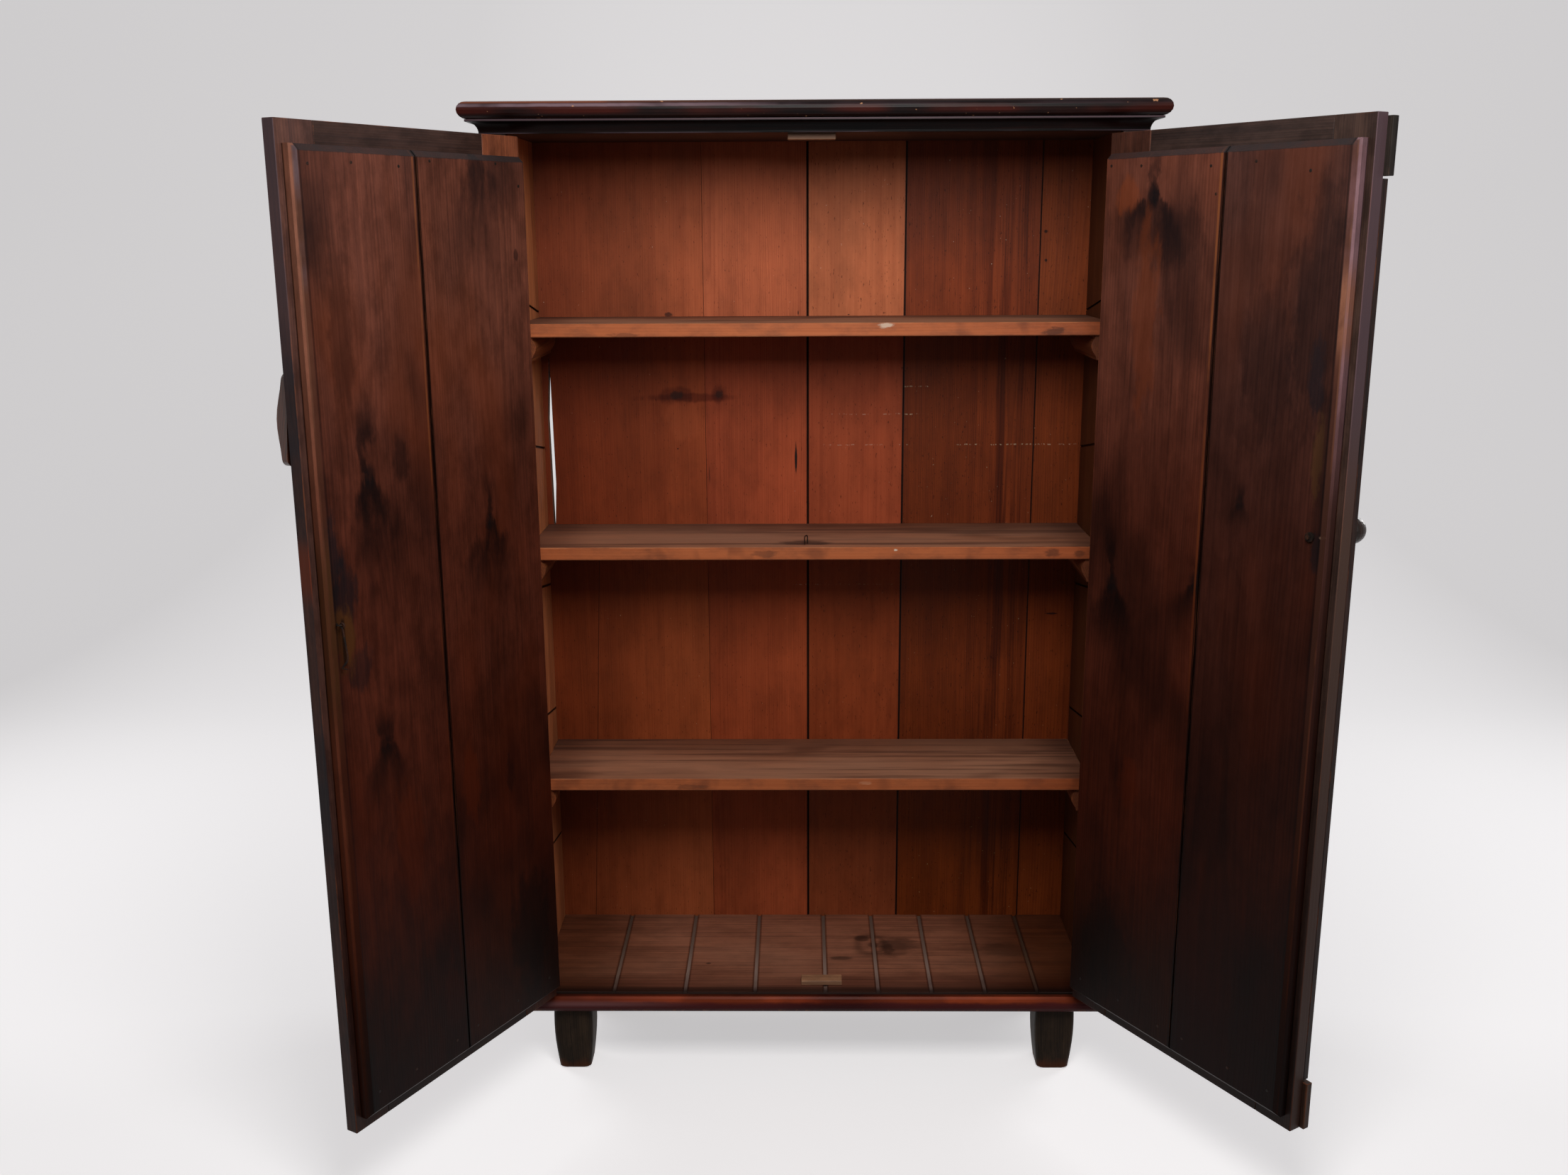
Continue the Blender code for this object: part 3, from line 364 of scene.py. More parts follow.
def bleed_group():
    """A dark bleed round a knot, shaped like an hourglass that stands on the knot.

    Across and Along are the knot's place, Core its half width, Fall and Spread the
    length and half width of the tent below it, and Rise the length of the spike above.
    Wings, from 0 to 1, clears the middle of the tent.
    """
    group, tree, given, out = new_group(
        "knot_bleed", ("Seed", "Across", "Along", "Core", "Fall", "Spread", "Rise", "Wings"),
        ("Bleed", "Bulge", "Core"))
    vector, seed, core = given["Vector"], given["Seed"], given["Core"]
    shift = tree.join(seed * 2.9, seed * 4.3, seed * 1.7)
    ragged = tree.noise(tree.stretch(vector, (20.0, 20.0, 8.0), shift), 5.0, 0.62) - 0.5
    feather = tree.noise(tree.stretch(vector, (170.0, 170.0, 9.0), shift), 3.0, 0.6) - 0.5
    mottle = tree.noise(tree.stretch(vector, (70.0, 70.0, 26.0), shift), 5.0, 0.66)
    across, _, along = tree.split(vector)
    side = across - given["Across"] + ragged * (given["Spread"] * 1.1)
    level = along - given["Along"]
    down = level * -1.0 / given["Fall"] + feather * 0.22
    tent_half = core * 0.7 + tree.math("POWER", tree.higher(down, 0.0), 0.75) * given["Spread"]
    distance = abs(side)
    reach = distance / tent_half
    tent = reach.steps(1.25, 0.45) * down.steps(-0.05, 0.04) * down.steps(1.0, 0.10)
    hollow = given["Wings"] * (reach.steps(0.50, 0.10) * down.steps(0.08, 0.35))
    tent = tent * (1.0 - hollow)
    up = level / given["Rise"] + feather * 0.2
    spike_half = core * (0.25 + tree.higher(up, 0.0) * 1.5)
    spike = (distance / spike_half).steps(1.4, 0.3)
    spike = spike * (up.steps(-0.06, 0.03) * up.steps(1.05, 0.45))
    a = (across - given["Across"]) / core
    b = level / (core * 1.3)
    eye = tree.length(a, b) + (mottle - 0.5) * 1.2
    near = a * a * 0.06 + b * b * 0.012
    bulge = tree.math("EXPONENT", near * -1.0) * 2.2
    patchy = mottle.steps(0.22, 0.58, 0.5, 1.0)
    bleed = tree.higher(tent, spike * 0.85) * patchy
    tree.feed(out.inputs["Bleed"], bleed)
    tree.feed(out.inputs["Bulge"], bulge)
    tree.feed(out.inputs["Core"], eye.steps(1.3, 0.4))
    return group


FIGURE = figure_group()
BLEED = bleed_group()

# The axes across, through and along the grain
GRAINS = {
    "along_z": ("x", "y", "z"),
    "along_z_side": ("y", "x", "z"),
    "along_x": ("z", "y", "x"),
    "along_x_flat": ("y", "z", "x"),
    "along_y": ("z", "x", "y"),
}
# Share of the fibres in a board's colour, and how high rings, fibres and lines stand
FIBRE_SHARE = 0.35
RING_RELIEF = 0.00005
FIBRE_RELIEF = 0.00006
LINE_RELIEF = 0.00008
# About what figure() gives as the mean of its uneven part of the roughness
MEAN_ROUGHNESS = 0.14
# What a board's next knot adds to the seed
KNOT_SEED_STEP = 3.1


class Finish:
    """A material while it is made: its colour, roughness and height so far.

    Low and high are the corners of the CAD node of the same name, in the place's frame.
    """

    def __init__(self, name, place, grain, seed):
        self.name = name
        self.low, self.high = local_box(name, place) if name in frame["nodes"] else (None, None)
        self.material = bpy.data.materials.new(name)
        self.tree = cleared_tree(self.material)
        self.seed = seed
        start = self.tree.node("ShaderNodeTexCoord").outputs["Object"]
        mapping = self.tree.node("ShaderNodeMapping", {"Vector": start}, vector_type="TEXTURE")
        mapping.inputs["Location"].default_value = place.origin
        mapping.inputs["Rotation"].default_value = (0.0, 0.0, place.turn)
        mapping.inputs["Scale"].default_value = (-1.0 if place.mirror else 1.0, 1.0, 1.0)
        self.x, self.y, self.z = self.tree.split(self.tree.out(mapping))
        across, through, self.along = (getattr(self, axis) for axis in GRAINS[grain])
        self.vector = self.tree.join(across, through, self.along)
        self.colour = (0.5, 0.5, 0.5, 1.0)
        self.roughness = 0.5
        self.height = 0.0
        self.bulge = 0.0
        self.knots = []

    def group(self, group, inputs):
        """A node of one of the groups, fed with this finish's vector."""
        node = self.tree.node("ShaderNodeGroup", node_tree=group)
        for key, value in {"Vector": self.vector, **inputs}.items():
            self.tree.feed(node.inputs[key], value)
        return node

    def knot(self, across, along, core, fall, spread, rise, strength=1.0, wings=0.0):
        """A knot that bends the rings; bleeds() paints what has run from it."""
        seed = self.seed + KNOT_SEED_STEP * len(self.knots)
        node = self.group(BLEED, {"Seed": seed, "Across": across, "Along": along, "Core": core,
                                  "Fall": fall, "Spread": spread, "Rise": rise, "Wings": wings})
        self.bulge = self.bulge + self.tree.out(node, "Bulge")
        self.knots.append((self.tree.out(node, "Bleed"), self.tree.out(node, "Core"), strength))

    def figure(self, light, dark, spacing, heart, wander=0.05, ring=0.3, streaks=0.3, fine=0.5,
               cloud=(0.86, 1.12)):
        """Rings, fibres and streaks in two colours, under slow changes of tone."""
        tree = self.tree
        node = self.group(FIGURE, {"Seed": self.seed, "Spacing": spacing, "Heart across": heart[0],
                                   "Heart through": heart[1], "Wander": wander, "Bulge": self.bulge})
        outputs = [tree.out(node, key) for key in range(len(node.outputs))]
        self.late, self.fibre, self.line, self.streak, self.mottle, self.cloud = outputs
        share = 0.22 + self.late * ring
        share = share + self.streak.steps(0.35, 0.68) * streaks
        share = share + (self.fibre - 0.5) * FIBRE_SHARE
        share = share + (self.line - 0.5) * (2.0 * fine)
        self.colour = tree.mix(tree.math("ADD", share, 0.0, clamp=True), light, dark)
        self.shade(self.cloud.steps(0.30, 0.70, *cloud))
        self.height = self.late * RING_RELIEF + self.fibre * FIBRE_RELIEF
        self.height = self.height + self.line * LINE_RELIEF
        self.roughness = self.fibre * 0.16 + self.cloud * 0.12

    def shade(self, value):
        """Multiplies the colour by a grey value."""
        grey = self.tree.out(self.tree.node("ShaderNodeCombineColor", {0: value, 1: value, 2: value}))
        self.colour = self.tree.mix(1.0, self.colour, grey, "MULTIPLY")

    def patches(self, low=0.36, high=0.66, dark=0.62, light=1.1):
        """Uneven stain, some centimetres across with ragged rims."""
        self.shade(self.mottle.steps(low, high, light, dark))

    def lay(self, mask, colour, roughness=None):
        """Another colour, and perhaps roughness, where the mask is 1."""
        self.colour = self.tree.mix(mask, self.colour, colour)
        if roughness is not None:
            self.roughness = self.tree.blend_value(mask, self.roughness, roughness)

    def tint(self, mask, colour):
        """Multiplies the colour where the mask is 1."""
        self.colour = self.tree.mix(mask, self.colour, colour, "MULTIPLY")

    def stretches(self, scale, low, high, shift):
        """A mask of stretches along the grain; low and high are as in speckle()."""
        tree = self.tree
        along = tree.join(self.seed + shift, self.seed * 0.7, self.along * scale)
        return tree.noise(along, 4.0, 0.65).steps(low, high)

    def hairline(self, value, middle, half, soft, wave=0.0):
        """A mask along a line; wave lets it wander."""
        tree = self.tree
        if wave:
            run = tree.noise(tree.join(self.seed, 0.0, self.along * 24.0), 3.0, 0.6)
            value = value + (run - 0.5) * wave
        return abs(value - middle).steps(half + soft, half - soft)

    def bleeds(self):
        """Paints the knots and what has run from them."""
        for bleed, core, strength in self.knots:
            self.lay(bleed * (0.9 * strength), STAIN_BLACK)
            self.lay(core * (0.75 * strength), STAIN_BLACK, 0.4)

    def spot(self, axes, place, ragged, fine):
        """A soft-edged oval mask with a ragged rim: middle and half width on each of two axes."""
        tree = self.tree
        shift = (self.seed, self.seed * 2.0, self.seed * 3.0)
        rim = tree.noise(tree.stretch(self.vector, (fine, fine, fine * 0.4), shift), 4.0, 0.65)
        a, b = (getattr(self, axis) for axis in axes)
        span = tree.length((a - place[0]) / place[1], (b - place[2]) / place[3])
        return (span + (rim - 0.5) * (2.0 * ragged)).steps(1.15, 0.55)

    def speckle(self, scale, low, high, stretch=(1.0, 1.0, 1.0), shift=0.0):
        """A mask of scattered specks; low and high are the noise levels that it fades between."""
        scales = tuple(scale * share for share in stretch)
        offset = (self.seed + shift, self.seed * 1.3 + shift, self.seed * 0.7)
        return self.tree.noise(self.tree.stretch(self.vector, scales, offset), 2.0).steps(low, high)

    def near_edge(self, width):
        """A mask of worn stretches along the arrises of the CAD node's box."""
        tree = self.tree
        sides = zip((self.x, self.y, self.z), self.low, self.high)
        gaps = [tree.lower(value - low, high - value) for value, low, high in sides]
        pair_low, pair_high = tree.lower(gaps[0], gaps[1]), tree.higher(gaps[0], gaps[1])
        second = tree.higher(pair_low, tree.lower(pair_high, gaps[2]))
        shift = (self.seed, self.seed, self.seed)
        worn = tree.noise(tree.stretch(self.vector, (40.0, 40.0, 9.0), shift), 5.0, 0.66)
        second = second + (0.56 - worn) * (7.0 * width)
        return second.steps(width, width * 0.2)

    def wear(self, width, strength, colour):
        """Another colour on worn stretches along the arrises."""
        self.lay(self.near_edge(width) * strength, colour)

    def finish(self, base_roughness, coat=0.0, coat_roughness=0.3, specular=0.5):
        """Closes the tree and gives back the material."""
        tree = self.tree
        shader = tree.node("ShaderNodeBsdfPrincipled")
        shader.inputs["Specular IOR Level"].default_value = specular
        shader.inputs["Coat Weight"].default_value = coat
        shader.inputs["Coat Roughness"].default_value = coat_roughness
        tree.feed(shader.inputs["Base Color"], self.colour)
        roughness = tree.math("ADD", self.roughness, base_roughness - MEAN_ROUGHNESS, clamp=True)
        tree.feed(shader.inputs["Roughness"], roughness)
        bumped = tree.node("ShaderNodeBump", {"Strength": 1.0, "Distance": 1.0, "Height": self.height})
        tree.feed(shader.inputs["Normal"], tree.out(bumped))
        tree.feed(tree.node("ShaderNodeOutputMaterial").inputs["Surface"], tree.out(shader))
        return self.material

    def dress(self, *given, **named):
        """Closes the tree and gives the material to the CAD node of the same name."""
        materials = frame["nodes"][self.name].data.materials
        materials.clear()
        materials.append(self.finish(*given, **named))


def local_box(node, place):
    """Lowest and highest corner of a CAD node in a place's own frame."""
    inverse = place.matrix().inverted()
    points = [inverse @ vertex.co for vertex in frame["nodes"][node].data.vertices]
    low = tuple(min(point[i] for point in points) for i in range(3))
    high = tuple(max(point[i] for point in points) for i in range(3))
    return low, high


def new_piece(name, shape, material):
    """The object of a finished shape, in the scene and with its material."""
    mesh = bpy.data.meshes.new(name)
    shape.to_mesh(mesh)
    shape.free()
    mesh.materials.append(material)
    obj = bpy.data.objects.new(name, mesh)
    bpy.context.scene.collection.objects.link(obj)
    return obj


# Carcass finishes

# Joints of the back boards: x, half width of their dark line, and how dark it is
BACK_JOINTS = ((-0.1873, 0.0004, 0.5), (-0.0076, 0.0022, 0.92), (0.1596, 0.0019, 0.92),
               (0.3893, 0.0013, 0.85))
# Depth of the boards' inner face
BACK_INSIDE = 0.292
# Light and dark tone of each board
BACK_TONES = {
    1: (srgb(186, 99, 62), srgb(136, 62, 36)),
    2: (srgb(190, 102, 66), srgb(138, 63, 38)),
    3: (srgb(199, 113, 73), srgb(150, 74, 45)),
    4: (srgb(144, 64, 30), srgb(96, 38, 17)),
    5: (srgb(134, 62, 27), srgb(92, 38, 16)),
}
# What each board's colour is multiplied by below the three shelves, from the top shelf down
BACK_TINTS = {
    1: (srgb(232, 212, 195), srgb(250, 238, 212), srgb(255, 255, 240)),
    2: (srgb(230, 204, 196), srgb(226, 200, 180), srgb(232, 214, 200)),
    3: (srgb(216, 182, 175), srgb(193, 161, 138), srgb(189, 170, 155)),
    4: (srgb(228, 226, 210), srgb(216, 214, 190), srgb(240, 245, 196)),
    5: (srgb(245, 236, 222), srgb(236, 225, 205), srgb(245, 240, 210)),
}
# The shelves' middles, between which those tints change
SHELF_MIDDLES = (1.269, 0.904, 0.498)
# Heart place, ring spacing, ring strength and streak strength
BACK_FIGURES = {
    1: ((-0.40, 0.30), 0.0032, 0.14, 0.16),
    2: ((-0.180, 0.315), 0.0030, 0.22, 0.12),
    3: ((0.07, 0.70), 0.0032, 0.12, 0.12),
    4: ((0.345, 0.310), 0.0026, 0.34, 0.30),
    5: ((0.50, 0.40), 0.0030, 0.22, 0.24),
}
# Rows of pale drips on the back: height, from and to
DRIP_ROWS = ((1.158, 0.160, 0.205), (1.110, 0.030, 0.200), (1.056, 0.005, 0.470), (0.803, -0.030, 0.150))
# Black marks on the back: x, z, half width and half height
NAIL_MARKS = ((-0.024, 1.2855, 0.0012, 0.004), (0.063, 1.282, 0.002, 0.0012), (-0.237, 1.050, 0.0015, 0.0015),
              (0.433, 0.748, 0.012, 0.002), (0.398, 1.420, 0.004, 0.003), (0.400, 1.372, 0.003, 0.003))
# Knots of the middle compartment: x, half width, z and half height
BACK_KNOTS = ((-0.237, 0.013, 1.144, 0.0075), (-0.163, 0.009, 1.146, 0.008))
# The wider split: its x and its widest half width
CRACK_PLACE = -0.0285
CRACK_WIDTH = 0.0026


def back_knots(made):
    """The pair of knots in the middle compartment, with what has run sideways from them."""
    smear = made.spot("xz", (-0.215, 0.090, 1.140, 0.008), 0.9, 40.0)
    made.tint(smear * 0.7, srgb(158, 126, 116))
    for x, half_x, z, half_z in BACK_KNOTS:
        made.tint(made.spot("xz", (x, 2.2 * half_x, z, 2.2 * half_z), 1.0, 50.0) * 0.6, srgb(150, 120, 112))
        made.lay(made.spot("xz", (x, half_x, z, half_z), 0.9, 90.0) * 0.8, srgb(44, 24, 20))
    made.lay(made.spot("xz", (-0.249, 0.008, 1.283, 0.004), 0.8, 120.0) * 0.8, srgb(48, 24, 18))
    halo = made.spot("xz", (-0.225, 0.040, 1.105, 0.034), 1.2, 36.0)
    made.lay(halo * 0.16, srgb(206, 116, 78))


def back_cracks(made):
    """The splits in the boards left of the middle."""
    tree = made.tree
    run = tree.noise(tree.join(made.seed, 0.0, made.z * 60.0), 3.0)
    away = abs(made.x - CRACK_PLACE) + run * 0.0012
    width = made.z.band(1.010, 1.052, 0.020) * CRACK_WIDTH
    made.lay((away - width).steps(0.0005, -0.0002), CRACK_BLACK)
    small = made.hairline(made.x, -0.182, 0.0006, 0.0003, 0.002) * made.z.band(0.992, 1.016, 0.006)
    made.lay(small * 0.8, CRACK_BLACK)


def drips(made):
    """Broken rows of pale drips."""
    tree = made.tree
    for height, start, end in DRIP_ROWS:
        sag = tree.noise(tree.join(made.x * 90.0, height * 50.0, 0.0), 3.0) * 0.004
        row = made.hairline(made.z + sag, height + 0.002, 0.0008, 0.0007)
        row = row * made.x.band(start, end, 0.006)
        broken = made.speckle(300.0, 0.49, 0.62, (1.0, 0.3, 0.3), height * 9.0)
        broken = broken * made.speckle(40.0, 0.40, 0.52, (1.0, 0.2, 0.2), height * 5.0)
        made.lay(row * broken * 0.6, CHIP_WHITE)


def back_boards():
    """Five boards, warm and smooth in the middle, darker and streakier to the right."""
    for number, (light, dark) in BACK_TONES.items():
        heart, spacing, ring, streaks = BACK_FIGURES[number]
        # Boards 1 and 2 share a seed, so that what crosses their joint runs on
        made = Finish("back_board_%d" % number, CARCASS, "along_z", max(number, 2) * 1.7)
        made.figure(light, dark, spacing, heart, 0.030, ring, streaks, fine=0.34, cloud=(0.80, 1.14))
        tree = made.tree
        made.patches(0.40, 0.70, 0.86, 1.04)
        if number == 4:
            heavy = made.streak.steps(0.44, 0.60) * made.x.band(0.300, 0.372, 0.04)
            made.tint(heavy * 0.7, srgb(150, 128, 116))
        if number == 1:
            old_joint = made.hairline(made.x + made.z * -0.043, -0.4195, 0.0007, 0.0004, 0.001)
            made.lay(old_joint * made.z.steps(0.89, 0.87) * 0.65, CRACK_BLACK)
        if number < 3:
            # Painted shade: boards 1 and 2 darker towards the left side
            made.tint(made.x.steps(-0.07, -0.50), srgb(172, 158, 148))
            back_knots(made)
            back_cracks(made)
        drips(made)
        for x, z, half_x, half_z in NAIL_MARKS:
            made.lay(made.spot("xz", (x, half_x, z, half_z), 0.4, 300.0) * 0.85, CRACK_BLACK)
        made.lay(made.speckle(230.0, 0.765, 0.785, (1.0, 0.1, 0.8), 5.0) * 0.45, CHIP_WHITE)
        made.tint(made.speckle(420.0, 0.66, 0.72, (1.0, 1.0, 0.3)) * 0.6, PINE_SHADE)
        for upper, lower, tone in zip(SHELF_MIDDLES, SHELF_MIDDLES[1:] + (0.0,), BACK_TINTS[number]):
            made.tint(made.z.band(lower, upper, 0.004), tone)
        outside = made.y.steps(BACK_INSIDE + 0.0015, BACK_INSIDE + 0.0025)
        made.lay(outside, tree.mix(made.streak.steps(0.3, 0.7), BACK_OUTSIDE, PINE_SHADE), 0.7)
        made.tint(outside * made.late.steps(0.2, 0.9, 0.0, 0.6), srgb(170, 150, 138))
        for x, half, strength in BACK_JOINTS:
            made.lay(made.hairline(made.x, x, half, half * 0.5, 0.0008) * strength, CRACK_BLACK)
        made.dress(0.52, specular=0.12)


def outer_stain(made):
    """The dark stain outside, with the grain and some uneven patches in it."""
    tree = made.tree
    grain = made.streak * 0.6 + made.line * 0.4
    stain = tree.mix(grain.steps(0.38, 0.62), OUTER_LIGHT, OUTER_DARK)
    return tree.mix(made.mottle.steps(0.42, 0.70, 0.0, 0.5), stain, VARNISH_DARK)


# Middles of the saw kerfs in the sides, and how they fall towards the back
KERF_HEIGHTS = (1.311, 1.075, 0.8285, 0.5945, 0.3485)
KERF_MIDDLE = 0.160
KERF_SLOPE = math.tan(math.radians(10.0))


def side_panels():
    """Pine inside, with painted shade in the saw kerfs, towards the back and on the right side; dark stain
    outside.
    """
    # The right side's tones are much darker than the left's, as painted shade
    for word, seed, light, dark in (("left", 11.0, srgb(222, 146, 96), srgb(172, 100, 64)),
                                    ("right", 13.0, srgb(102, 59, 35), srgb(73, 40, 24))):
        made = Finish(word + "_side", CARCASS, "along_z_side", seed)
        made.figure(light, dark, 0.0035, (0.10, 0.5), 0.04, 0.25, 0.35)
        made.patches(0.40, 0.70, 0.85, 1.04)
        depth = made.x - made.low[0] if word == "left" else made.high[0] - made.x
        level = made.z + (made.y - KERF_MIDDLE) * KERF_SLOPE
        # Painted shade: black in the saw kerfs
        for height in KERF_HEIGHTS:
            made.lay(made.hairline(level, height, 0.0022, 0.0007) * 0.92, CRACK_BLACK)
        # Painted shade: darker towards the back
        made.tint(made.y.steps(0.20, 0.29) * 0.5, srgb(160, 140, 130))
        outside = depth.steps(0.0015, 0.0008)
        made.lay(outside, outer_stain(made), 0.3)
        made.wear(0.0012, 0.3, EDGE_WORN)
        made.dress(0.50, specular=0.12)


def ceiling():
    """The board under the cap, in dark tones as painted shade, since hardly any light reaches it."""
    made = Finish("ceiling_board", CARCASS, "along_x_flat", 15.0)
    # Painted shade: dark tones
    made.figure(srgb(66, 42, 30), srgb(40, 26, 20), 0.005, (0.1, 0.3))
    made.dress(0.5, specular=0.2)


def bearers():
    """Strips under the shelves' ends, paler on the left as painted light."""
    for level, seed in (("top", 21.0), ("middle", 23.0), ("bottom", 25.0)):
        for word in ("left", "right"):
            made = Finish("%s_shelf_%s_bearer" % (level, word), CARCASS, "along_y", seed)
            low = made.low
            # Painted light: paler tones for the left strips
            light = srgb(160, 92, 52) if word == "left" else srgb(134, 76, 48)
            made.figure(light, srgb(92, 48, 28), 0.003, (low[2] + 0.1, low[0] + 0.2), 0.04, 0.35)
            made.tint(made.y.steps(low[1] + 0.002, low[1] + 0.0008) * 0.5, srgb(190, 160, 140))
            made.wear(0.0014, 0.3, SHELF_EDGE)
            made.dress(0.5, specular=0.25)


# Marks on the shelves' fronts: shelf, x, z below the top, half width, half height, colour and strength
SHELF_MARKS = (
    ("top", 0.116, 0.0035, 0.013, 0.0045, CHIP_WHITE, 0.75),
    ("top", 0.384, 0.0150, 0.018, 0.0070, srgb(70, 36, 24), 0.75),
    ("top", -0.300, 0.0180, 0.030, 0.0040, srgb(84, 46, 30), 0.5),
    ("middle", 0.136, 0.0045, 0.0035, 0.0022, CHIP_WHITE, 0.9),
    ("middle", -0.080, 0.0110, 0.024, 0.0060, srgb(92, 52, 34), 0.5),
    ("middle", 0.395, 0.0100, 0.014, 0.0080, srgb(70, 38, 26), 0.6),
    ("middle", 0.440, 0.0110, 0.010, 0.0070, srgb(70, 38, 26), 0.6),
    ("bottom", 0.090, 0.0080, 0.010, 0.0035, srgb(206, 140, 104), 0.6),
    ("bottom", -0.210, 0.0150, 0.030, 0.0050, srgb(84, 46, 30), 0.5),
)


def shelves():
    """Dusty tops with dark ends, cleaner bright front edges and worn arrises."""
    for level, seed in (("top", 31.0), ("middle", 33.0), ("bottom", 35.0)):
        made = Finish(level + "_shelf", CARCASS, "along_x_flat", seed)
        low, high = made.low, made.high
        made.figure(SHELF_LIGHT, SHELF_DARK, 0.0050, (0.16, high[2] + 0.20), 0.05, 0.26, 0.5, 0.6)
        made.patches(0.38, 0.68, 0.82, 1.06)
        tree = made.tree
        dust = DUST if level == "middle" else DUST_PALE
        top = made.z.steps(high[2] - 0.0010, high[2] - 0.0004)
        made.lay(top * made.cloud.steps(0.25, 0.75, 0.35, 0.78), dust, 0.6)
        made.tint(top * made.streak.steps(0.52, 0.66) * 0.55, srgb(128, 100, 88))
        grime = made.speckle(15.0, 0.52, 0.74, (1.0, 1.0, 0.35), 2.0)
        made.tint(top * grime * 0.5, srgb(130, 104, 94))
        ends = abs(made.x).steps(0.36, 0.46)
        made.tint(top * ends * 0.6, srgb(140, 114, 102))
        # Painted shade: the top darker towards the back
        made.tint(top * made.y.steps(0.17, 0.29) * 0.7, srgb(128, 104, 92))
        front = made.y.steps(low[1] + 0.0012, low[1] + 0.0006)
        made.lay(front * 0.72, tree.mix(made.mottle.steps(0.4, 0.75, 0.0, 0.7), SHELF_EDGE, SHELF_DARK))
        stains = made.speckle(14.0, 0.56, 0.70, (0.8, 1.0, 1.4), 2.0)
        made.lay(front * stains * 0.45, srgb(104, 54, 34))
        made.tint(front * made.x.steps(0.20, 0.46) * 0.5, srgb(200, 168, 150))
        under = made.hairline(made.z, low[2], 0.0018, 0.0010)
        made.lay(front * under * 0.5, srgb(66, 34, 22))
        made.wear(0.0012, 0.4, SHELF_WORN)
        for where, x, drop, half_x, half_z, colour, strength in SHELF_MARKS:
            if where == level:
                mark = made.spot("xz", (x, half_x, high[2] - drop, half_z), 1.1, 150.0)
                made.lay(front * mark * strength, colour)
        if level == "middle":
            rub = made.spot("xy", (-0.014, 0.046, 0.124, 0.020), 0.8, 60.0)
            made.lay(top * rub * 0.7, srgb(48, 30, 24))
        made.dress(0.55, specular=0.25)


# Middles of the floor's channels
CHANNELS = (-0.3429, -0.2205, -0.1005, 0.0207, 0.1111, 0.2024, 0.2941, 0.3832)
# Dark marks on the floor: x, half width, y, half depth and strength
FLOOR_MARKS = (
    (0.148, 0.036, 0.165, 0.040, 0.42), (0.136, 0.012, 0.158, 0.022, 0.6), (0.092, 0.016, 0.196, 0.012, 0.7),
    (0.110, 0.010, 0.170, 0.010, 0.5), (0.052, 0.024, 0.120, 0.008, 0.7), (-0.186, 0.006, 0.100, 0.004, 0.8),
    (0.160, 0.040, 0.170, 0.020, 0.35), (0.350, 0.050, 0.150, 0.030, 0.4),
)


def floor_panel():
    """Worn floor with grain from side to side, a knot, and grey dust in its channels."""
    made = Finish("floor_panel", CARCASS, "along_x_flat", 41.0)
    made.knot(0.158, 0.118, 0.013, 0.03, 0.02, 0.03)
    made.figure(FLOOR_LIGHT, FLOOR_DARK, 0.0055, (0.30, 0.20), 0.05, 0.20, 0.30, 0.9)
    made.patches(0.36, 0.66, 0.80, 1.06)
    outer, inner = (made.spot("xy", (0.106, half_x, 0.172, half_y), 0.35, 30.0)
                    for half_x, half_y in ((0.034, 0.050), (0.024, 0.034)))
    made.lay((outer - inner) * 0.7, srgb(52, 30, 22))
    for x, half_x, y, half_y, strength in FLOOR_MARKS:
        made.lay(made.spot("xy", (x, half_x, y, half_y), 0.9, 60.0) * strength, srgb(44, 26, 20))
    made.lay(made.cloud.steps(0.40, 0.8, 0.0, 0.35), DUST, 0.6)
    for x in CHANNELS:
        made.tint(made.hairline(made.x, x, 0.0055, 0.0012, 0.0008) * 0.7, srgb(140, 116, 104))
    bed = made.z.steps(made.high[2] - 0.0012, made.high[2] - 0.0020)
    made.lay(bed * 0.9, srgb(160, 134, 122), 0.7)
    made.tint(bed * made.y.steps(0.06, 0.20) * 0.8, srgb(176, 168, 160))
    depth = made.y + (made.cloud - 0.5) * 0.10
    made.tint(depth.steps(0.085, 0.020) * made.mottle.steps(0.2, 0.6, 1.0, 0.7), srgb(172, 160, 164))
    made.lay(made.y.steps(0.026, 0.004) * 0.85, srgb(34, 20, 16))
    made.tint(made.x.steps(-0.22, -0.44), srgb(172, 158, 142))
    made.tint(made.x.steps(0.20, 0.42), srgb(142, 118, 92))
    # Painted shade: darker towards the back
    made.tint(made.y.steps(0.20, 0.29) * 0.35, srgb(132, 106, 94))
    made.dress(0.55, specular=0.2)


def stop_blocks():
    """The two pale blocks that the doors close against."""
    for node, seed in (("floor_stop_block", 43.0), ("top_stop_block", 45.0)):
        made = Finish(node, CARCASS, "along_x", seed)
        low = made.low
        made.figure(BLOCK_LIGHT, BLOCK_DARK, 0.003, (low[2] + 0.03, 0.08), 0.05, 0.5, 0.5)
        made.patches(0.35, 0.65, 0.7, 1.05)
        made.lay(made.y.steps(low[1] + 0.0015, low[1] + 0.0007) * 0.7, srgb(122, 88, 68))
        made.wear(0.001, 0.25, srgb(210, 160, 116))
        made.dress(0.55, specular=0.25)


def dark_carcass():
    """The stiles beside the doors and the rail above them."""
    for node, grain, seed in (("left_front_stile", "along_z", 51.0), ("right_front_stile", "along_z", 53.0),
                              ("top_front_rail", "along_x", 55.0)):
        made = Finish(node, CARCASS, grain, seed)
        light, dark = (RAIL_LIGHT, RAIL_DARK) if grain == "along_z" else (srgb(20, 18, 16), srgb(12, 10, 10))
        made.figure(light, dark, 0.004, (0.3, 0.2), 0.05, 0.3, 0.4)
        made.patches()
        made.wear(0.0010, 0.4, EDGE_WORN)
        made.dress(0.46, specular=0.1)


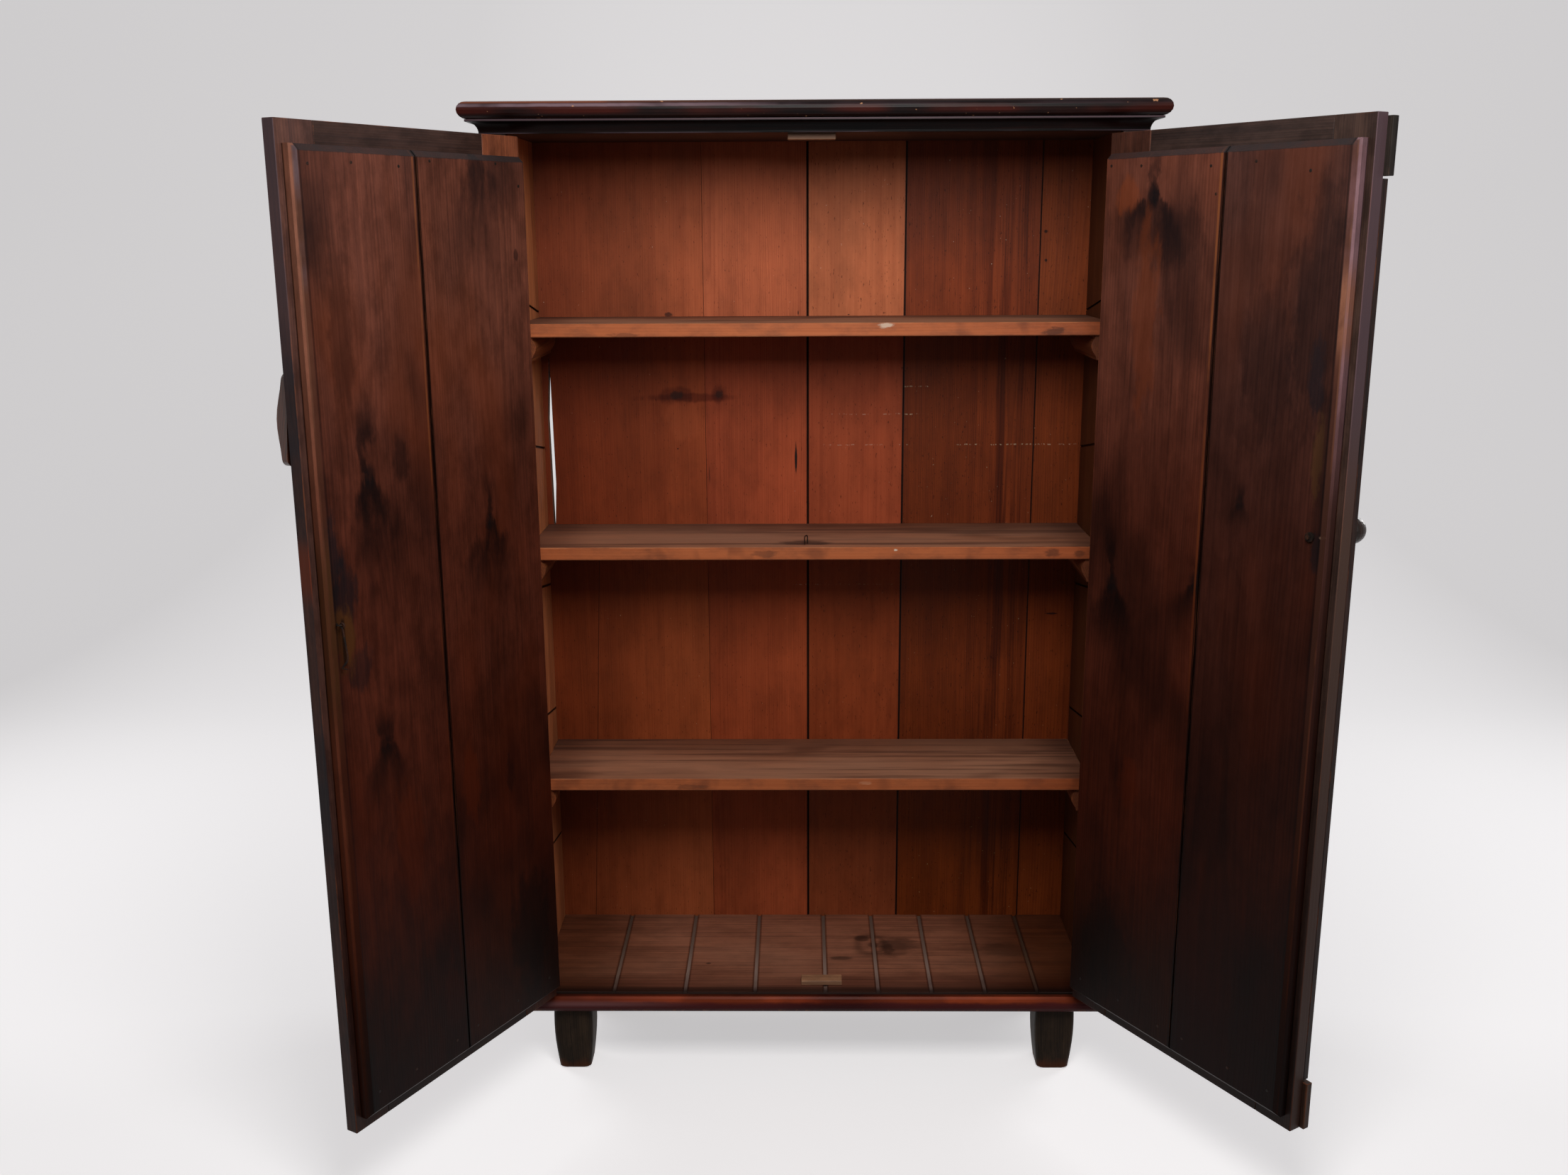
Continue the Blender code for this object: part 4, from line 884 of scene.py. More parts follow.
def nosing(made, worn):
    """A bare orange crest over red varnish, redder and duller towards its left end, with a painted highlight
    on its left end.
    """
    low, high = made.low, made.high
    level = made.z + (made.mottle - 0.5) * 0.010
    made.lay(level.steps(high[2] - 0.007, high[2] - 0.014) * 0.9, srgb(88, 34, 34))
    crest = level.band(high[2] - 0.0105, high[2] + 0.0020, 0.0035) * worn.steps(0.0, 1.0, 0.50, 0.95)
    bare = made.tree.mix(made.x.steps(-0.34, -0.16), VARNISH_RED, NOSING_ORANGE)
    made.lay(crest * 0.92, bare)
    made.tint(made.x.band(-0.03, 0.11, 0.05) * 0.7, srgb(140, 110, 120))
    # Painted highlight: a pinkish band below the crest on the left end
    painted_highlight = made.z.band(high[2] - 0.0170, high[2] - 0.0085, 0.004) * made.x.steps(-0.16, -0.40)
    made.lay(painted_highlight * 0.5, srgb(150, 104, 104))
    nicks = made.speckle(60.0, 0.56, 0.66) * made.hairline(made.z, low[2] + 0.003, 0.003, 0.002)
    made.lay(nicks * 0.7, srgb(150, 84, 46))
    made.lay(made.hairline(made.z, high[2], 0.0010, 0.0006) * 0.7, VARNISH_DARK)


def cap(made, worn):
    """A bare upper arris and a painted highlight along a lower one, both mostly on the left end, which is
    painted lighter than the rest as painted light; a stained and dusty top.
    """
    low, high = made.low, made.high
    top = made.z.band(high[2] - 0.0035, high[2] + 0.01, 0.0012)
    # Painted light: the left end is lighter and the rest darkened; the bare arris and the painted highlight
    # stay mostly on the left
    painted_light_end = made.x.steps(0.02, -0.28, 0.08, 1.0)
    made.tint(1.0 - painted_light_end, srgb(150, 140, 140))
    made.lay(top * (painted_light_end * worn.steps(0.0, 1.0, 0.35, 0.9)), srgb(132, 66, 36))
    flat = made.z.steps(high[2] - 0.0010, high[2] - 0.0003)
    made.lay(flat * 0.92, outer_stain(made))
    made.lay(flat * made.cloud.steps(0.35, 0.75, 0.0, 0.4), DUST, 0.6)
    made.lay(made.z.band(low[2] + 0.006, high[2] - 0.008, 0.003) * (worn * 0.45), srgb(84, 28, 18))
    # Painted highlight: a lilac line along the lower arris, in stretches
    arris = made.hairline(made.z, high[2] - 0.0066, 0.0022, 0.0012, 0.002)
    rubbed = made.stretches(6.0, 0.28, 0.56, 9.0) * (painted_light_end * 0.85)
    made.lay(arris * rubbed, PAINTED_SHEEN)
    made.lay(made.speckle(110.0, 0.715, 0.745, (1.0, 1.0, 0.7), 8.0) * 0.7, srgb(206, 150, 110), 0.6)


def cove(made, worn):
    """Darker than the cap, with a faint painted highlight line along each of its edges."""
    made.tint(1.0, srgb(126, 124, 126))
    # Painted highlights: a patchy lilac line along the lower edge and a fainter one along the upper edge
    made.lay(made.hairline(made.z, made.low[2], 0.0012, 0.0006) * (worn * 0.5), PAINTED_SHEEN_DIM)
    made.lay(made.hairline(made.z, made.high[2] - 0.0012, 0.0012, 0.0006) * 0.3, PAINTED_SHEEN)


def mouldings():
    """Cap, cove and nosing: dark varnish, redder where it thins, chipped on its arrises."""
    for node, seed, paint, gloss in (("cap_board", 61.0, cap, 0.10), ("cornice_cove", 63.0, cove, 0.07),
                                     ("base_nosing", 65.0, nosing, 0.07)):
        made = Finish(node, CARCASS, "along_x", seed)
        heart = (made.high[2] + 0.1, 0.2)
        made.figure(VARNISH_LIGHT, VARNISH_DARK, 0.005, heart, 0.05, 0.3, 0.6, cloud=(0.7, 1.1))
        made.patches(0.35, 0.65, 0.6, 1.1)
        paint(made, made.speckle(7.0, 0.44, 0.64, (2.0, 1.0, 1.0), 4.0))
        made.dress(0.36, coat_roughness=0.2, specular=gloss)


def feet():
    """Dull and scuffed near the floor, the front left one split."""
    for node, seed in (("front_left_foot", 71.0), ("front_right_foot", 73.0),
                       ("back_left_foot", 75.0), ("back_right_foot", 77.0)):
        made = Finish(node, CARCASS, "along_z", seed)
        low, high = made.low, made.high
        made.figure(FOOT_LIGHT, FOOT_DARK, 0.0035, (low[0] - 0.1, 0.1), 0.05, 0.3, 0.5)
        made.patches()
        scuffed = (made.z + made.mottle * 0.05).steps(0.048, 0.026)
        made.lay(scuffed * 0.6, srgb(104, 58, 38))
        made.wear(0.002, 0.35, srgb(96, 58, 38))
        if node == "front_left_foot":
            split = made.hairline(made.x, (low[0] + high[0]) / 2 - 0.004, 0.0006, 0.0003, 0.006)
            made.lay(split * made.z.steps(0.10, 0.08) * 0.9, CRACK_BLACK)
        made.dress(0.55, specular=0.08)


# Door finishes

# Light and dark tone of a door's frame pieces
FRAME_TONES = {
    "left_door_hinge_stile": (srgb(150, 84, 56), srgb(92, 52, 38)),
    "left_door_free_stile": (srgb(98, 64, 54), srgb(58, 40, 38)),
    "left_door_top_rail": (RAIL_LIGHT, RAIL_DARK),
    "left_door_bottom_rail": (srgb(72, 42, 28), srgb(40, 25, 19)),
    "right_door_hinge_stile": (srgb(80, 46, 35), srgb(48, 30, 25)),
    "right_door_free_stile": (srgb(74, 54, 46), srgb(44, 31, 28)),
    "right_door_top_rail": (srgb(70, 52, 46), srgb(42, 32, 30)),
    "right_door_bottom_rail": (srgb(64, 38, 26), srgb(36, 23, 18)),
}


def door_frame(place, word):
    """Stiles and rails of a door: thin stain inside, dark varnish outside, a painted reflection on the free
    stile's edge near the top, and darker towards the bottom, partly as painted shade.
    """
    for number, (node, (light, dark)) in enumerate(FRAME_TONES.items()):
        if not node.startswith(word):
            continue
        grain = "along_x" if node.endswith("rail") else "along_z"
        made = Finish(node, place, grain, 81.0 + number * 2.3)
        made.figure(light, dark, 0.0035, (0.25, 0.15), 0.04, 0.22, 0.35)
        made.patches()
        outer = made.y.steps(0.0012, 0.0006)
        made.lay(outer * 0.95, outer_stain(made), 0.2)
        if node.endswith("free_stile"):
            edge = made.x.steps(made.high[0] - 0.0012, made.high[0] - 0.0005)
            if word == "left":
                made.lay(edge * (made.stretches(3.6, 0.40, 0.58, 3.0) * 0.75), STAIN_BLUE)
                # Painted reflection: lilac-brown on the edge near the top
                made.lay(edge * made.z.steps(1.20, 1.38) * 0.7, srgb(88, 70, 74))
                made.lay(edge * made.z.band(0.955, 1.024, 0.02) * 0.7, srgb(128, 60, 38))
            else:
                # Painted reflection: lilac on the edge, kept to the top by the brown below
                made.lay(edge * 0.8, srgb(100, 78, 84))
                made.lay(edge * (made.z.steps(1.24, 1.02) * 0.85), srgb(94, 68, 54))
        # Darker towards the bottom: partly the stain, partly painted shade
        made.tint(made.z.steps(1.2, 0.15) * 0.8, srgb(150, 126, 118))
        made.wear(0.0012, 0.15 if node == "right_door_free_stile" else 0.4, EDGE_WORN)
        made.dress(0.44, specular=0.1)


# Each board's knots: u, z, core, fall, spread, rise, strength and wings
LINING_KNOTS = {
    "left_1": ((0.126, 1.005, 0.010, 0.16, 0.088, 0.080, 0.95, 0.0),
               (0.123, 1.535, 0.006, 0.22, 0.110, 0.020, 0.85, 0.0)),
    "left_2": ((0.360, 1.104, 0.013, 0.20, 0.085, 0.110, 1.0, 0.0),
               (0.366, 0.728, 0.011, 0.11, 0.060, 0.050, 0.95, 0.3)),
    "right_1": ((0.109, 1.466, 0.013, 0.13, 0.130, 0.080, 0.9, 0.60),
                (0.064, 0.895, 0.012, 0.12, 0.085, 0.110, 1.0, 0.0),
                (0.232, 0.930, 0.013, 0.10, 0.085, 0.040, 0.95, 0.0)),
    "right_2": ((0.301, 1.056, 0.009, 0.04, 0.022, 0.03, 0.8, 0.0),),
}
# Where each board's heart is, across and through
LINING_HEARTS = {"left_1": (0.10, 0.12), "left_2": (0.36, 0.10),
                 "right_1": (0.12, 0.14), "right_2": (0.30, 0.20)}
# What each board is multiplied by
LINING_TONES = {"left_1": srgb(246, 244, 240), "left_2": srgb(255, 255, 255),
                "right_1": srgb(255, 255, 255), "right_2": srgb(190, 204, 218)}
# What the lowest part of each board is multiplied by: partly the stain, partly painted shade
LINING_FEET = {"left_1": srgb(225, 250, 240), "left_2": srgb(196, 190, 150),
               "right_1": srgb(190, 212, 180), "right_2": srgb(196, 176, 130)}
# How far the hook's shadow lies from the hook, towards the hinge
HOOK_SHADOW_SIDE = 0.011
# Stains and worn places on each board: colour, strength, u, half width, z and half height
LINING_MARKS = {
    "left_1": (
        (STAIN_BLACK, 0.6, 0.040, 0.005, 1.390, 0.009),
        (LINING_RED, 0.45, 0.197, 0.020, 0.610, 0.060),
        (STAIN_BLACK, 0.6, 0.080, 0.055, 0.330, 0.100),
        (STAIN_BLACK, 0.45, 0.110, 0.010, 0.600, 0.035),
    ),
    "left_2": (
        (STAIN_BLUE, 0.75, 0.438, 0.022, 1.000, 0.064),
        (STAIN_BLUE, 0.7, 0.422, 0.028, 0.945, 0.060),
        (STAIN_BLUE, 0.55, 0.400, 0.026, 0.850, 0.034),
        (RUBBED_BROWN, 0.85, 0.424, 0.026, 0.893, 0.046),
        (STAIN_BLACK, 0.5, 0.300, 0.016, 1.120, 0.035),
        (STAIN_BLACK, 0.35, 0.390, 0.022, 1.300, 0.120),
        (LINING_RED, 0.35, 0.330, 0.030, 0.560, 0.100),
        (LINING_RED, 0.4, 0.262, 0.020, 0.290, 0.070),
    ),
    "right_1": (
        (STAIN_BLACK, 0.75, 0.110, 0.013, 1.470, 0.020),
        (STAIN_BLACK, 0.3, 0.076, 0.060, 1.420, 0.044),
        (STAIN_BLACK, 0.4, 0.150, 0.060, 1.415, 0.050),
        (LINING_RED, 0.5, 0.060, 0.026, 1.470, 0.026),
        (LINING_RED, 0.35, 0.105, 0.026, 1.300, 0.150),
        (STAIN_BLACK, 0.2, 0.030, 0.016, 1.040, 0.100),
        (LINING_RED, 0.35, 0.120, 0.020, 0.583, 0.050),
        (STAIN_BLACK, 0.45, 0.090, 0.060, 0.300, 0.100),
    ),
    "right_2": (
        (OLIVE_BROWN, 0.6, 0.424, 0.010, 1.135, 0.060),
        (STAIN_BLUE, 0.9, 0.446, 0.004, 1.153, 0.005),
        (STAIN_BLUE, 0.8, 0.446, 0.004, 1.081, 0.004),
        (STAIN_BLUE, 0.6, 0.412, 0.014, 1.237, 0.060),
        (STAIN_BLUE, 0.6, 0.434, 0.010, 1.010, 0.030),
        (STAIN_BLACK, 0.3, 0.330, 0.050, 1.250, 0.120),
        (STAIN_BLACK, 0.4, 0.405, 0.045, 1.320, 0.170),
        (CHIP_WHITE, 0.7, 0.4395, 0.004, 1.030, 0.0022),
    ),
}
# Depth at which the outer boards' free edge turns from square to bevelled, and the bevel's width
LINING_SQUARE = 0.0313
LINING_BEVEL = 0.008
# Tones of the free edge: its bevel near the door's top, a greyish painted reflection, its bevel elsewhere,
# and its square part
EDGE_TONES = {"left": (srgb(98, 80, 84), srgb(90, 56, 42), srgb(148, 96, 76)),
              "right": (srgb(104, 70, 70), srgb(86, 52, 40), srgb(140, 106, 112))}


def free_edge(made, word):
    """The bevelled free edge of a door's outer board, with a painted reflection on the bevel near the top, a
    painted shade line along the bevel's inner rim, and the worn crest between its parts, lighter also as a
    painted highlight.
    """
    tree = made.tree
    edge = made.high[0]
    start = edge - LINING_BEVEL
    square = made.y.steps(LINING_SQUARE + 0.0034, LINING_SQUARE + 0.0020)
    square = square * made.x.steps(start, start + 0.0010)
    bevel = made.x.steps(start - 0.0002, start + 0.0010) * (1.0 - square)
    both = tree.higher(bevel, square)
    upper_tone, lower_tone, square_tone = EDGE_TONES[word]
    # The bevel's tone near the top is a painted reflection; lower down, and in stretches, it is brown
    lower = tree.higher(made.stretches(5.0, 0.44, 0.60, 1.0), made.z.steps(1.42, 1.32))
    made.lay(bevel * made.mottle.steps(0.3, 0.7, 0.9, 0.4), tree.mix(lower, upper_tone, lower_tone))
    made.lay(square * made.mottle.steps(0.3, 0.7, 0.92, 0.55), square_tone)
    if word == "left":
        olive = made.z.band(0.78, 1.02, 0.05) * made.mottle.steps(0.3, 0.7, 0.9, 0.5)
        made.lay(olive * both, OLIVE_BROWN)
    else:
        made.lay(both * (made.z.steps(1.24, 1.02) * 0.85), srgb(70, 48, 40))
        # Darker lower down: partly the stain, partly painted shade
        made.tint(square * made.z.steps(1.15, 0.60), srgb(180, 160, 150))
        # Lighter on the bevel high up: wear and a painted highlight
        rubbed = made.z.band(1.27, 1.37, 0.03) * made.mottle.steps(0.3, 0.6, 0.3, 0.8)
        made.lay(rubbed * both, srgb(146, 96, 74))
    # Painted shade: a dark line along the bevel's inner rim
    rim = made.hairline(made.x, start - 0.0014, 0.0014, 0.0010)
    made.lay(rim * (1.0 - square) * 0.5, STAIN_BLACK)
    # The worn crest, painted lighter: wear and a painted highlight
    crest = made.hairline(made.y, LINING_SQUARE + 0.0034, 0.0007, 0.0006)
    worn = made.stretches(6.0, 0.42, 0.58, 5.0) * made.x.steps(edge - 0.006, edge - 0.004)
    made.lay(crest * worn * 0.4, srgb(140, 96, 76))
    foot = made.y.steps(made.low[1] + 0.0030, made.low[1] + 0.0012)
    made.lay(foot * made.x.steps(edge - 0.002, edge - 0.001) * 0.8, CRACK_BLACK)


def lining_edges(made, word, number):
    """The dark joint with its worn edge, the blue-grey top bevel and the free edge."""
    near, far, top = made.low[0], made.high[0], made.high[2]
    if number == 1:
        joint = made.x.steps(far - 0.0030, far - 0.0012)
        worn = made.x.band(far - 0.0070, far - 0.0034, 0.0008)
    else:
        joint = made.x.steps(near + 0.0028, near + 0.0012)
        worn = made.x.band(near + 0.0034, near + 0.0062, 0.0008)
    if (word, number) in (("left", 2), ("right", 1)):
        high_up = made.z.steps(0.55, 1.10, 0.35 if word == "left" else 0.0, 0.9)
        made.lay(worn * made.stretches(5.0, 0.36, 0.60, 7.0) * high_up, srgb(128, 74, 44))
    made.lay(joint * 0.9, CRACK_BLACK)
    bevel = (made.z + (made.mottle - 0.5) * 0.004).steps(top - 0.0095, top - 0.0078)
    made.lay(bevel * made.mottle.steps(0.3, 0.65, 0.92, 0.70), srgb(40, 37, 38))
    if number == 2:
        free_edge(made, word)


def hook_shadow(made):
    """The hook's shadow on the board behind it, as a soft dark line."""
    low, high = local_box("hook", LEFT)
    line = made.hairline(made.x, (low[0] + high[0]) / 2 - HOOK_SHADOW_SIDE, 0.0030, 0.0020)
    made.lay(line * (made.z.band(low[2], high[2], 0.004) * 0.8), STAIN_BLACK)


def lining(place, word):
    """Inner boards of a door: uneven dark stain with black bleeds round the knots."""
    left = word == "left"
    for number in (1, 2):
        key = "%s_%d" % (word, number)
        seed = 101.0 + number * 3.7 + (0.0 if left else 17.0)
        made = Finish("%s_door_inner_board_%d" % (word, number), place, "along_z", seed)
        for knot in LINING_KNOTS[key]:
            made.knot(*knot)
        made.figure(LINING_LIGHT, LINING_DARK, 0.0034, LINING_HEARTS[key], 0.04, 0.18, 0.20,
                    cloud=(0.78, 1.14))
        made.tint(1.0, LINING_TONES[key])
        dark, light = (0.66, 1.12) if left else (0.74, 1.06)
        made.patches(0.34, 0.68, dark, light)
        glow = made.speckle(7.0, 0.48, 0.70, (1.0, 1.0, 0.35), 6.0)
        made.lay(glow * (0.35 if left else 0.2), LINING_RED)
        gloom = made.speckle(7.0, 0.48, 0.70, (1.0, 1.0, 0.5), 11.0)
        made.lay(gloom * 0.6, STAIN_BLACK)
        made.bleeds()
        for colour, strength, u, half_u, z, half_z in LINING_MARKS[key]:
            fine = 55.0 if half_u > 0.012 else 120.0
            made.lay(made.spot("xz", (u, half_u, z, half_z), 1.0, fine) * strength, colour)
        if number == 2:
            rim = made.x.steps(made.high[0] - 0.030, made.high[0] - 0.006)
            made.lay(rim * (made.stretches(4.0, 0.40, 0.62, 13.0) * 0.55), STAIN_BLACK)
        if key == "left_2":
            hook_shadow(made)
        lining_edges(made, word, number)
        # Darker towards the bottom of the door: partly the stain, partly painted shade
        made.tint(made.z.steps(1.42, 0.95) * 0.9, srgb(206, 176, 162))
        made.tint(made.z.steps(1.05, 0.45) * 0.9, srgb(208, 184, 164))
        low_tone = srgb(160, 150, 145) if number == 1 else srgb(128, 108, 90)
        made.tint(made.z.steps(0.60, 0.16) * 0.9, low_tone)
        made.tint(made.z.steps(0.52, 0.22), LINING_FEET[key])
        made.wear(0.0008, 0.25, EDGE_WORN)
        made.dress(0.48, specular=0.06)


# The tongue: how deep it starts, its thickness, and how far it stops short of the boards' ends
TONGUE_START = 0.007
TONGUE_THICKNESS = 0.005
TONGUE_END_GAP = 0.010
# Corners of a box's faces; corner 4a + 2b + c is high in w, z and u where a, b and c are 1
BOX_FACES = ((0, 1, 3, 2), (4, 5, 7, 6), (0, 1, 5, 4), (2, 3, 7, 6), (0, 2, 6, 4), (1, 3, 7, 5))


def tongues():
    """The tongue that closes the joint between the two lining boards of each door."""
    for word, place, seed in (("left", LEFT, 121.0), ("right", RIGHT, 123.0)):
        low, high = local_box(word + "_door_inner_board_1", place)
        start, end = high[0], local_box(word + "_door_inner_board_2", place)[0][0]
        shape = bmesh.new()
        corners = []
        for w in (low[1] + TONGUE_START, low[1] + TONGUE_START + TONGUE_THICKNESS):
            for z in (low[2] + TONGUE_END_GAP, high[2] - TONGUE_END_GAP):
                for u in (start, end):
                    corners.append(shape.verts.new(place.point(u, w, z)))
        for face in BOX_FACES:
            shape.faces.new([corners[i] for i in face])
        bmesh.ops.recalc_face_normals(shape, faces=shape.faces[:])
        name = word + "_door_tongue"
        made = Finish(name, place, "along_z", seed)
        made.figure(OUTER_DARK, CRACK_BLACK, 0.003, (0.2, 0.1))
        obj = new_piece(name, shape, made.finish(0.5, specular=0.1))
        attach(obj, word + "_door")


def meeting_strip():
    """The strip's three lengths, browner from the top down."""
    tones = {"meeting_strip_top": srgb(58, 50, 44), "meeting_strip_main": srgb(66, 44, 38),
             "meeting_strip_bottom": srgb(96, 66, 50)}
    for number, (node, light) in enumerate(tones.items()):
        made = Finish(node, RIGHT, "along_z", 131.0 + number * 2.1)
        made.figure(light, srgb(26, 20, 20), 0.004, (0.6, 0.1), 0.05, 0.3, 0.6)
        made.patches()
        made.wear(0.0012, 0.4, EDGE_WORN)
        made.dress(0.46, specular=0.1)


def knob():
    """Turned wood under a dark polish."""
    made = Finish("knob", RIGHT, "along_z", 141.0)
    made.figure(KNOB_LIGHT, KNOB_DARK, 0.002, (0.36, 0.02), 0.02, 0.5, 0.5)
    made.tint(1.0, srgb(168, 152, 128))
    made.dress(0.34, coat=0.30, coat_roughness=0.10, specular=0.15)


def turn_button():
    """A rubbed wooden button with a little polish left."""
    made = Finish("turn_button", LEFT, "along_z", 143.0)
    made.figure(BUTTON_LIGHT, BUTTON_DARK, 0.0025, (0.5, 0.02), 0.03, 0.4, 0.4)
    made.wear(0.003, 0.3, srgb(160, 96, 64))
    made.dress(0.36, coat=0.2, coat_roughness=0.2)


# Ironwork

# How the iron reflects, and the scales of its grain and of its patches of rust
IRON = {"base_roughness": 0.50, "specular": 0.12}
IRON_GRAIN = (420.0, 420.0, 420.0)
IRON_PATCHES = (90.0, 90.0, 90.0)


def iron(name, place, seed):
    """Old iron: brown-black scale with rust in it."""
    made = Finish(name, place, "along_z", seed)
    tree = made.tree
    shift = (seed, seed, seed)
    grain = tree.noise(tree.stretch(made.vector, IRON_GRAIN, shift), 4.0, 0.65)
    patch = tree.noise(tree.stretch(made.vector, IRON_PATCHES, shift), 3.0)
    made.colour = tree.mix(patch.steps(0.42, 0.66), IRON_DARK, IRON_RUST)
    made.colour = tree.mix(grain.steps(0.55, 0.7) * 0.5, made.colour, CRACK_BLACK)
    made.roughness = grain * 0.4
    made.height = grain * 0.0003
    return made


def ironwork():
    """The hinge leaves and the small fittings."""
    for word, place in (("left", LEFT), ("right", RIGHT)):
        for level in ("top", "bottom"):
            for part in ("frame", "door"):
                iron("%s_%s_hinge_%s_leaf" % (word, level, part), place, 151.0).dress(**IRON)
    for node, place in (("hook_screw_eye", LEFT), ("hook", LEFT), ("turn_button_screw", LEFT),
                        ("shelf_staple", CARCASS), ("knob_bolt", RIGHT)):
        iron(node, place, 161.0).dress(**IRON)


HOOK_TIP_LENGTH = 0.012
HOOK_TIP_RADIUS = 0.0011
HOOK_TIP_POINT = 0.0006
# Height of the hook's lowest part, on whose middle the tip stands
HOOK_END = 0.0015


def hook_tip():
    """The hook's bent point, which stands out from the door and drops into the staple."""
    inverse = LEFT.matrix().inverted()
    points = [inverse @ vertex.co for vertex in frame["nodes"]["hook"].data.vertices]
    lowest = min(point.z for point in points)
    end = [point for point in points if point.z < lowest + HOOK_END]
    middle = [sum(point[i] for point in end) / len(end) for i in range(3)]
    normal = (LEFT.matrix().to_3x3() @ Vector((0.0, 1.0, 0.0))).normalized()
    turn = normal.to_track_quat("Z", "Y").to_matrix().to_4x4()
    centre = Matrix.Translation(LEFT.point(*middle) + normal * HOOK_TIP_LENGTH / 2)
    shape = bmesh.new()
    bmesh.ops.create_cone(shape, cap_ends=True, segments=12, radius1=HOOK_TIP_RADIUS,
                          radius2=HOOK_TIP_POINT, depth=HOOK_TIP_LENGTH, matrix=centre @ turn)
    obj = new_piece("hook_tip", shape, iron("hook_tip", LEFT, 161.0).finish(**IRON))
    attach(obj, "hook")


# Nails and screws

# A head's depth in the wood and the share of its radius that is flat on top
HEAD_SUNK = 0.0006
HEAD_TOP = 0.62
# Sides of a whole head, and of one half of a slotted head
HEAD_STEPS = 14
HALF_HEAD_STEPS = 10
# Half a slot's width as a share of the radius, and how each next slot is turned, in radians
SLOT_SHARE = 0.12
SLOT_TURN_START = 0.4
SLOT_TURN_STEP = 0.9


def skin(shape, rings):
    """Faces from each ring to the next, and one on each end."""
    for lower, upper in zip(rings, rings[1:]):
        for i in range(len(lower)):
            j = (i + 1) % len(lower)
            shape.faces.new((lower[i], lower[j], upper[j], upper[i]))
    shape.faces.new(list(reversed(rings[0])))
    shape.faces.new(rings[-1])


def fastener_heads(name, body, place, spots, facing, radius, proud, slotted=False):
    """Round heads in one piece, at spots in a place's frame, facing along one of its directions.

    A slotted head is made as two halves on either side of its slot.
    """
    shape = bmesh.new()
    turn = place.matrix().to_3x3()
    normal = (turn @ Vector(facing)).normalized()
    up = Vector((0.0, 0.0, 1.0))
    side = normal.cross(up).normalized()
    halves = ((0.0, math.pi), (math.pi, 2 * math.pi)) if slotted else ((0.0, 2 * math.pi),)
    steps = HALF_HEAD_STEPS if slotted else HEAD_STEPS
    corners = steps + 1 if slotted else steps
    shift = radius * SLOT_SHARE if slotted else 0.0
    for order, spot in enumerate(spots):
        centre = place.point(*spot)
        slot_turn = SLOT_TURN_STEP * order + SLOT_TURN_START
        for start, end in halves:
            middle = (start + end) / 2 + slot_turn
            angles = [start + (end - start) * i / steps + slot_turn for i in range(corners)]
            rings = []
            for reach, level in ((1.0, -HEAD_SUNK), (1.0, 0.25 * proud), (HEAD_TOP, proud)):
                ring = []
                for angle in angles:
                    across = reach * radius * math.cos(angle) + shift * math.cos(middle)
                    rise = reach * radius * math.sin(angle) + shift * math.sin(middle)
                    ring.append(shape.verts.new(centre + side * across + up * rise + normal * level))
                rings.append(ring)
            skin(shape, rings)
    bmesh.ops.recalc_face_normals(shape, faces=shape.faces[:])
    obj = new_piece(name, shape, iron(name, place, 171.0).finish(**IRON))
    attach(obj, body)


# Nails in the lining boards, each u and z as the photograph shows them or in line with those
LINING_NAILS = {
    "left": ((0.027, 1.488), (0.075, 1.518), (0.209, 1.517), (0.268, 1.508), (0.352, 1.510), (0.424, 1.506),
             (0.040, 0.215), (0.120, 0.212), (0.215, 0.216), (0.262, 0.214), (0.350, 0.212), (0.425, 0.216)),
    "right": ((0.023, 1.512), (0.083, 1.510), (0.213, 1.505), (0.225, 1.468), (0.290, 1.508), (0.378, 1.493),
              (0.038, 0.214), (0.125, 0.216), (0.212, 0.212), (0.262, 0.216), (0.352, 0.213), (0.426, 0.215)),
}
NAIL_RADIUS = 0.0022
NAIL_PROUD = 0.0003
SCREW_RADIUS = 0.0030
SCREW_PROUD = 0.00008
# Screws: depth from the carcass's front or the door's outer face, and heights from a leaf's middle
SCREW_DEPTH = 0.0112
SCREW_RISES = (-0.026, 0.0, 0.026)
# From the pin's plane to the face of each leaf
LEAF_FACE = 0.0002


def fasteners():
    """Nail heads in the lining boards and slotted screws in the hinge leaves."""
    for word, place, sign in (("left", LEFT, -1.0), ("right", RIGHT, 1.0)):
        door = word + "_door"
        face = local_box(door + "_inner_board_1", place)[1][1]
        nails = [(u, face, z) for u, z in LINING_NAILS[word]]
        fastener_heads(word + "_lining_nails", door, place, nails, (0, 1, 0), NAIL_RADIUS, NAIL_PROUD)
        pin_x = door_joint(word)["pos_m"][0] - CARCASS.origin.x
        for level in ("top", "bottom"):
            low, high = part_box("%s_%s_hinge_door_leaf" % (word, level))
            heights = [(low.z + high.z) / 2 + rise for rise in SCREW_RISES]
            for part, body, frame_place, x, facing in (
                    ("door", door, place, LEAF_FACE - PIN_TO_EDGE, -1.0),
                    ("frame", "carcass", CARCASS, pin_x + sign * LEAF_FACE, -sign)):
                fastener_heads("%s_%s_%s_leaf_screws" % (word, level, part), body, frame_place,
                               [(x, SCREW_DEPTH, z) for z in heights], (facing, 0, 0),
                               SCREW_RADIUS, SCREW_PROUD, True)


# Camera and studio


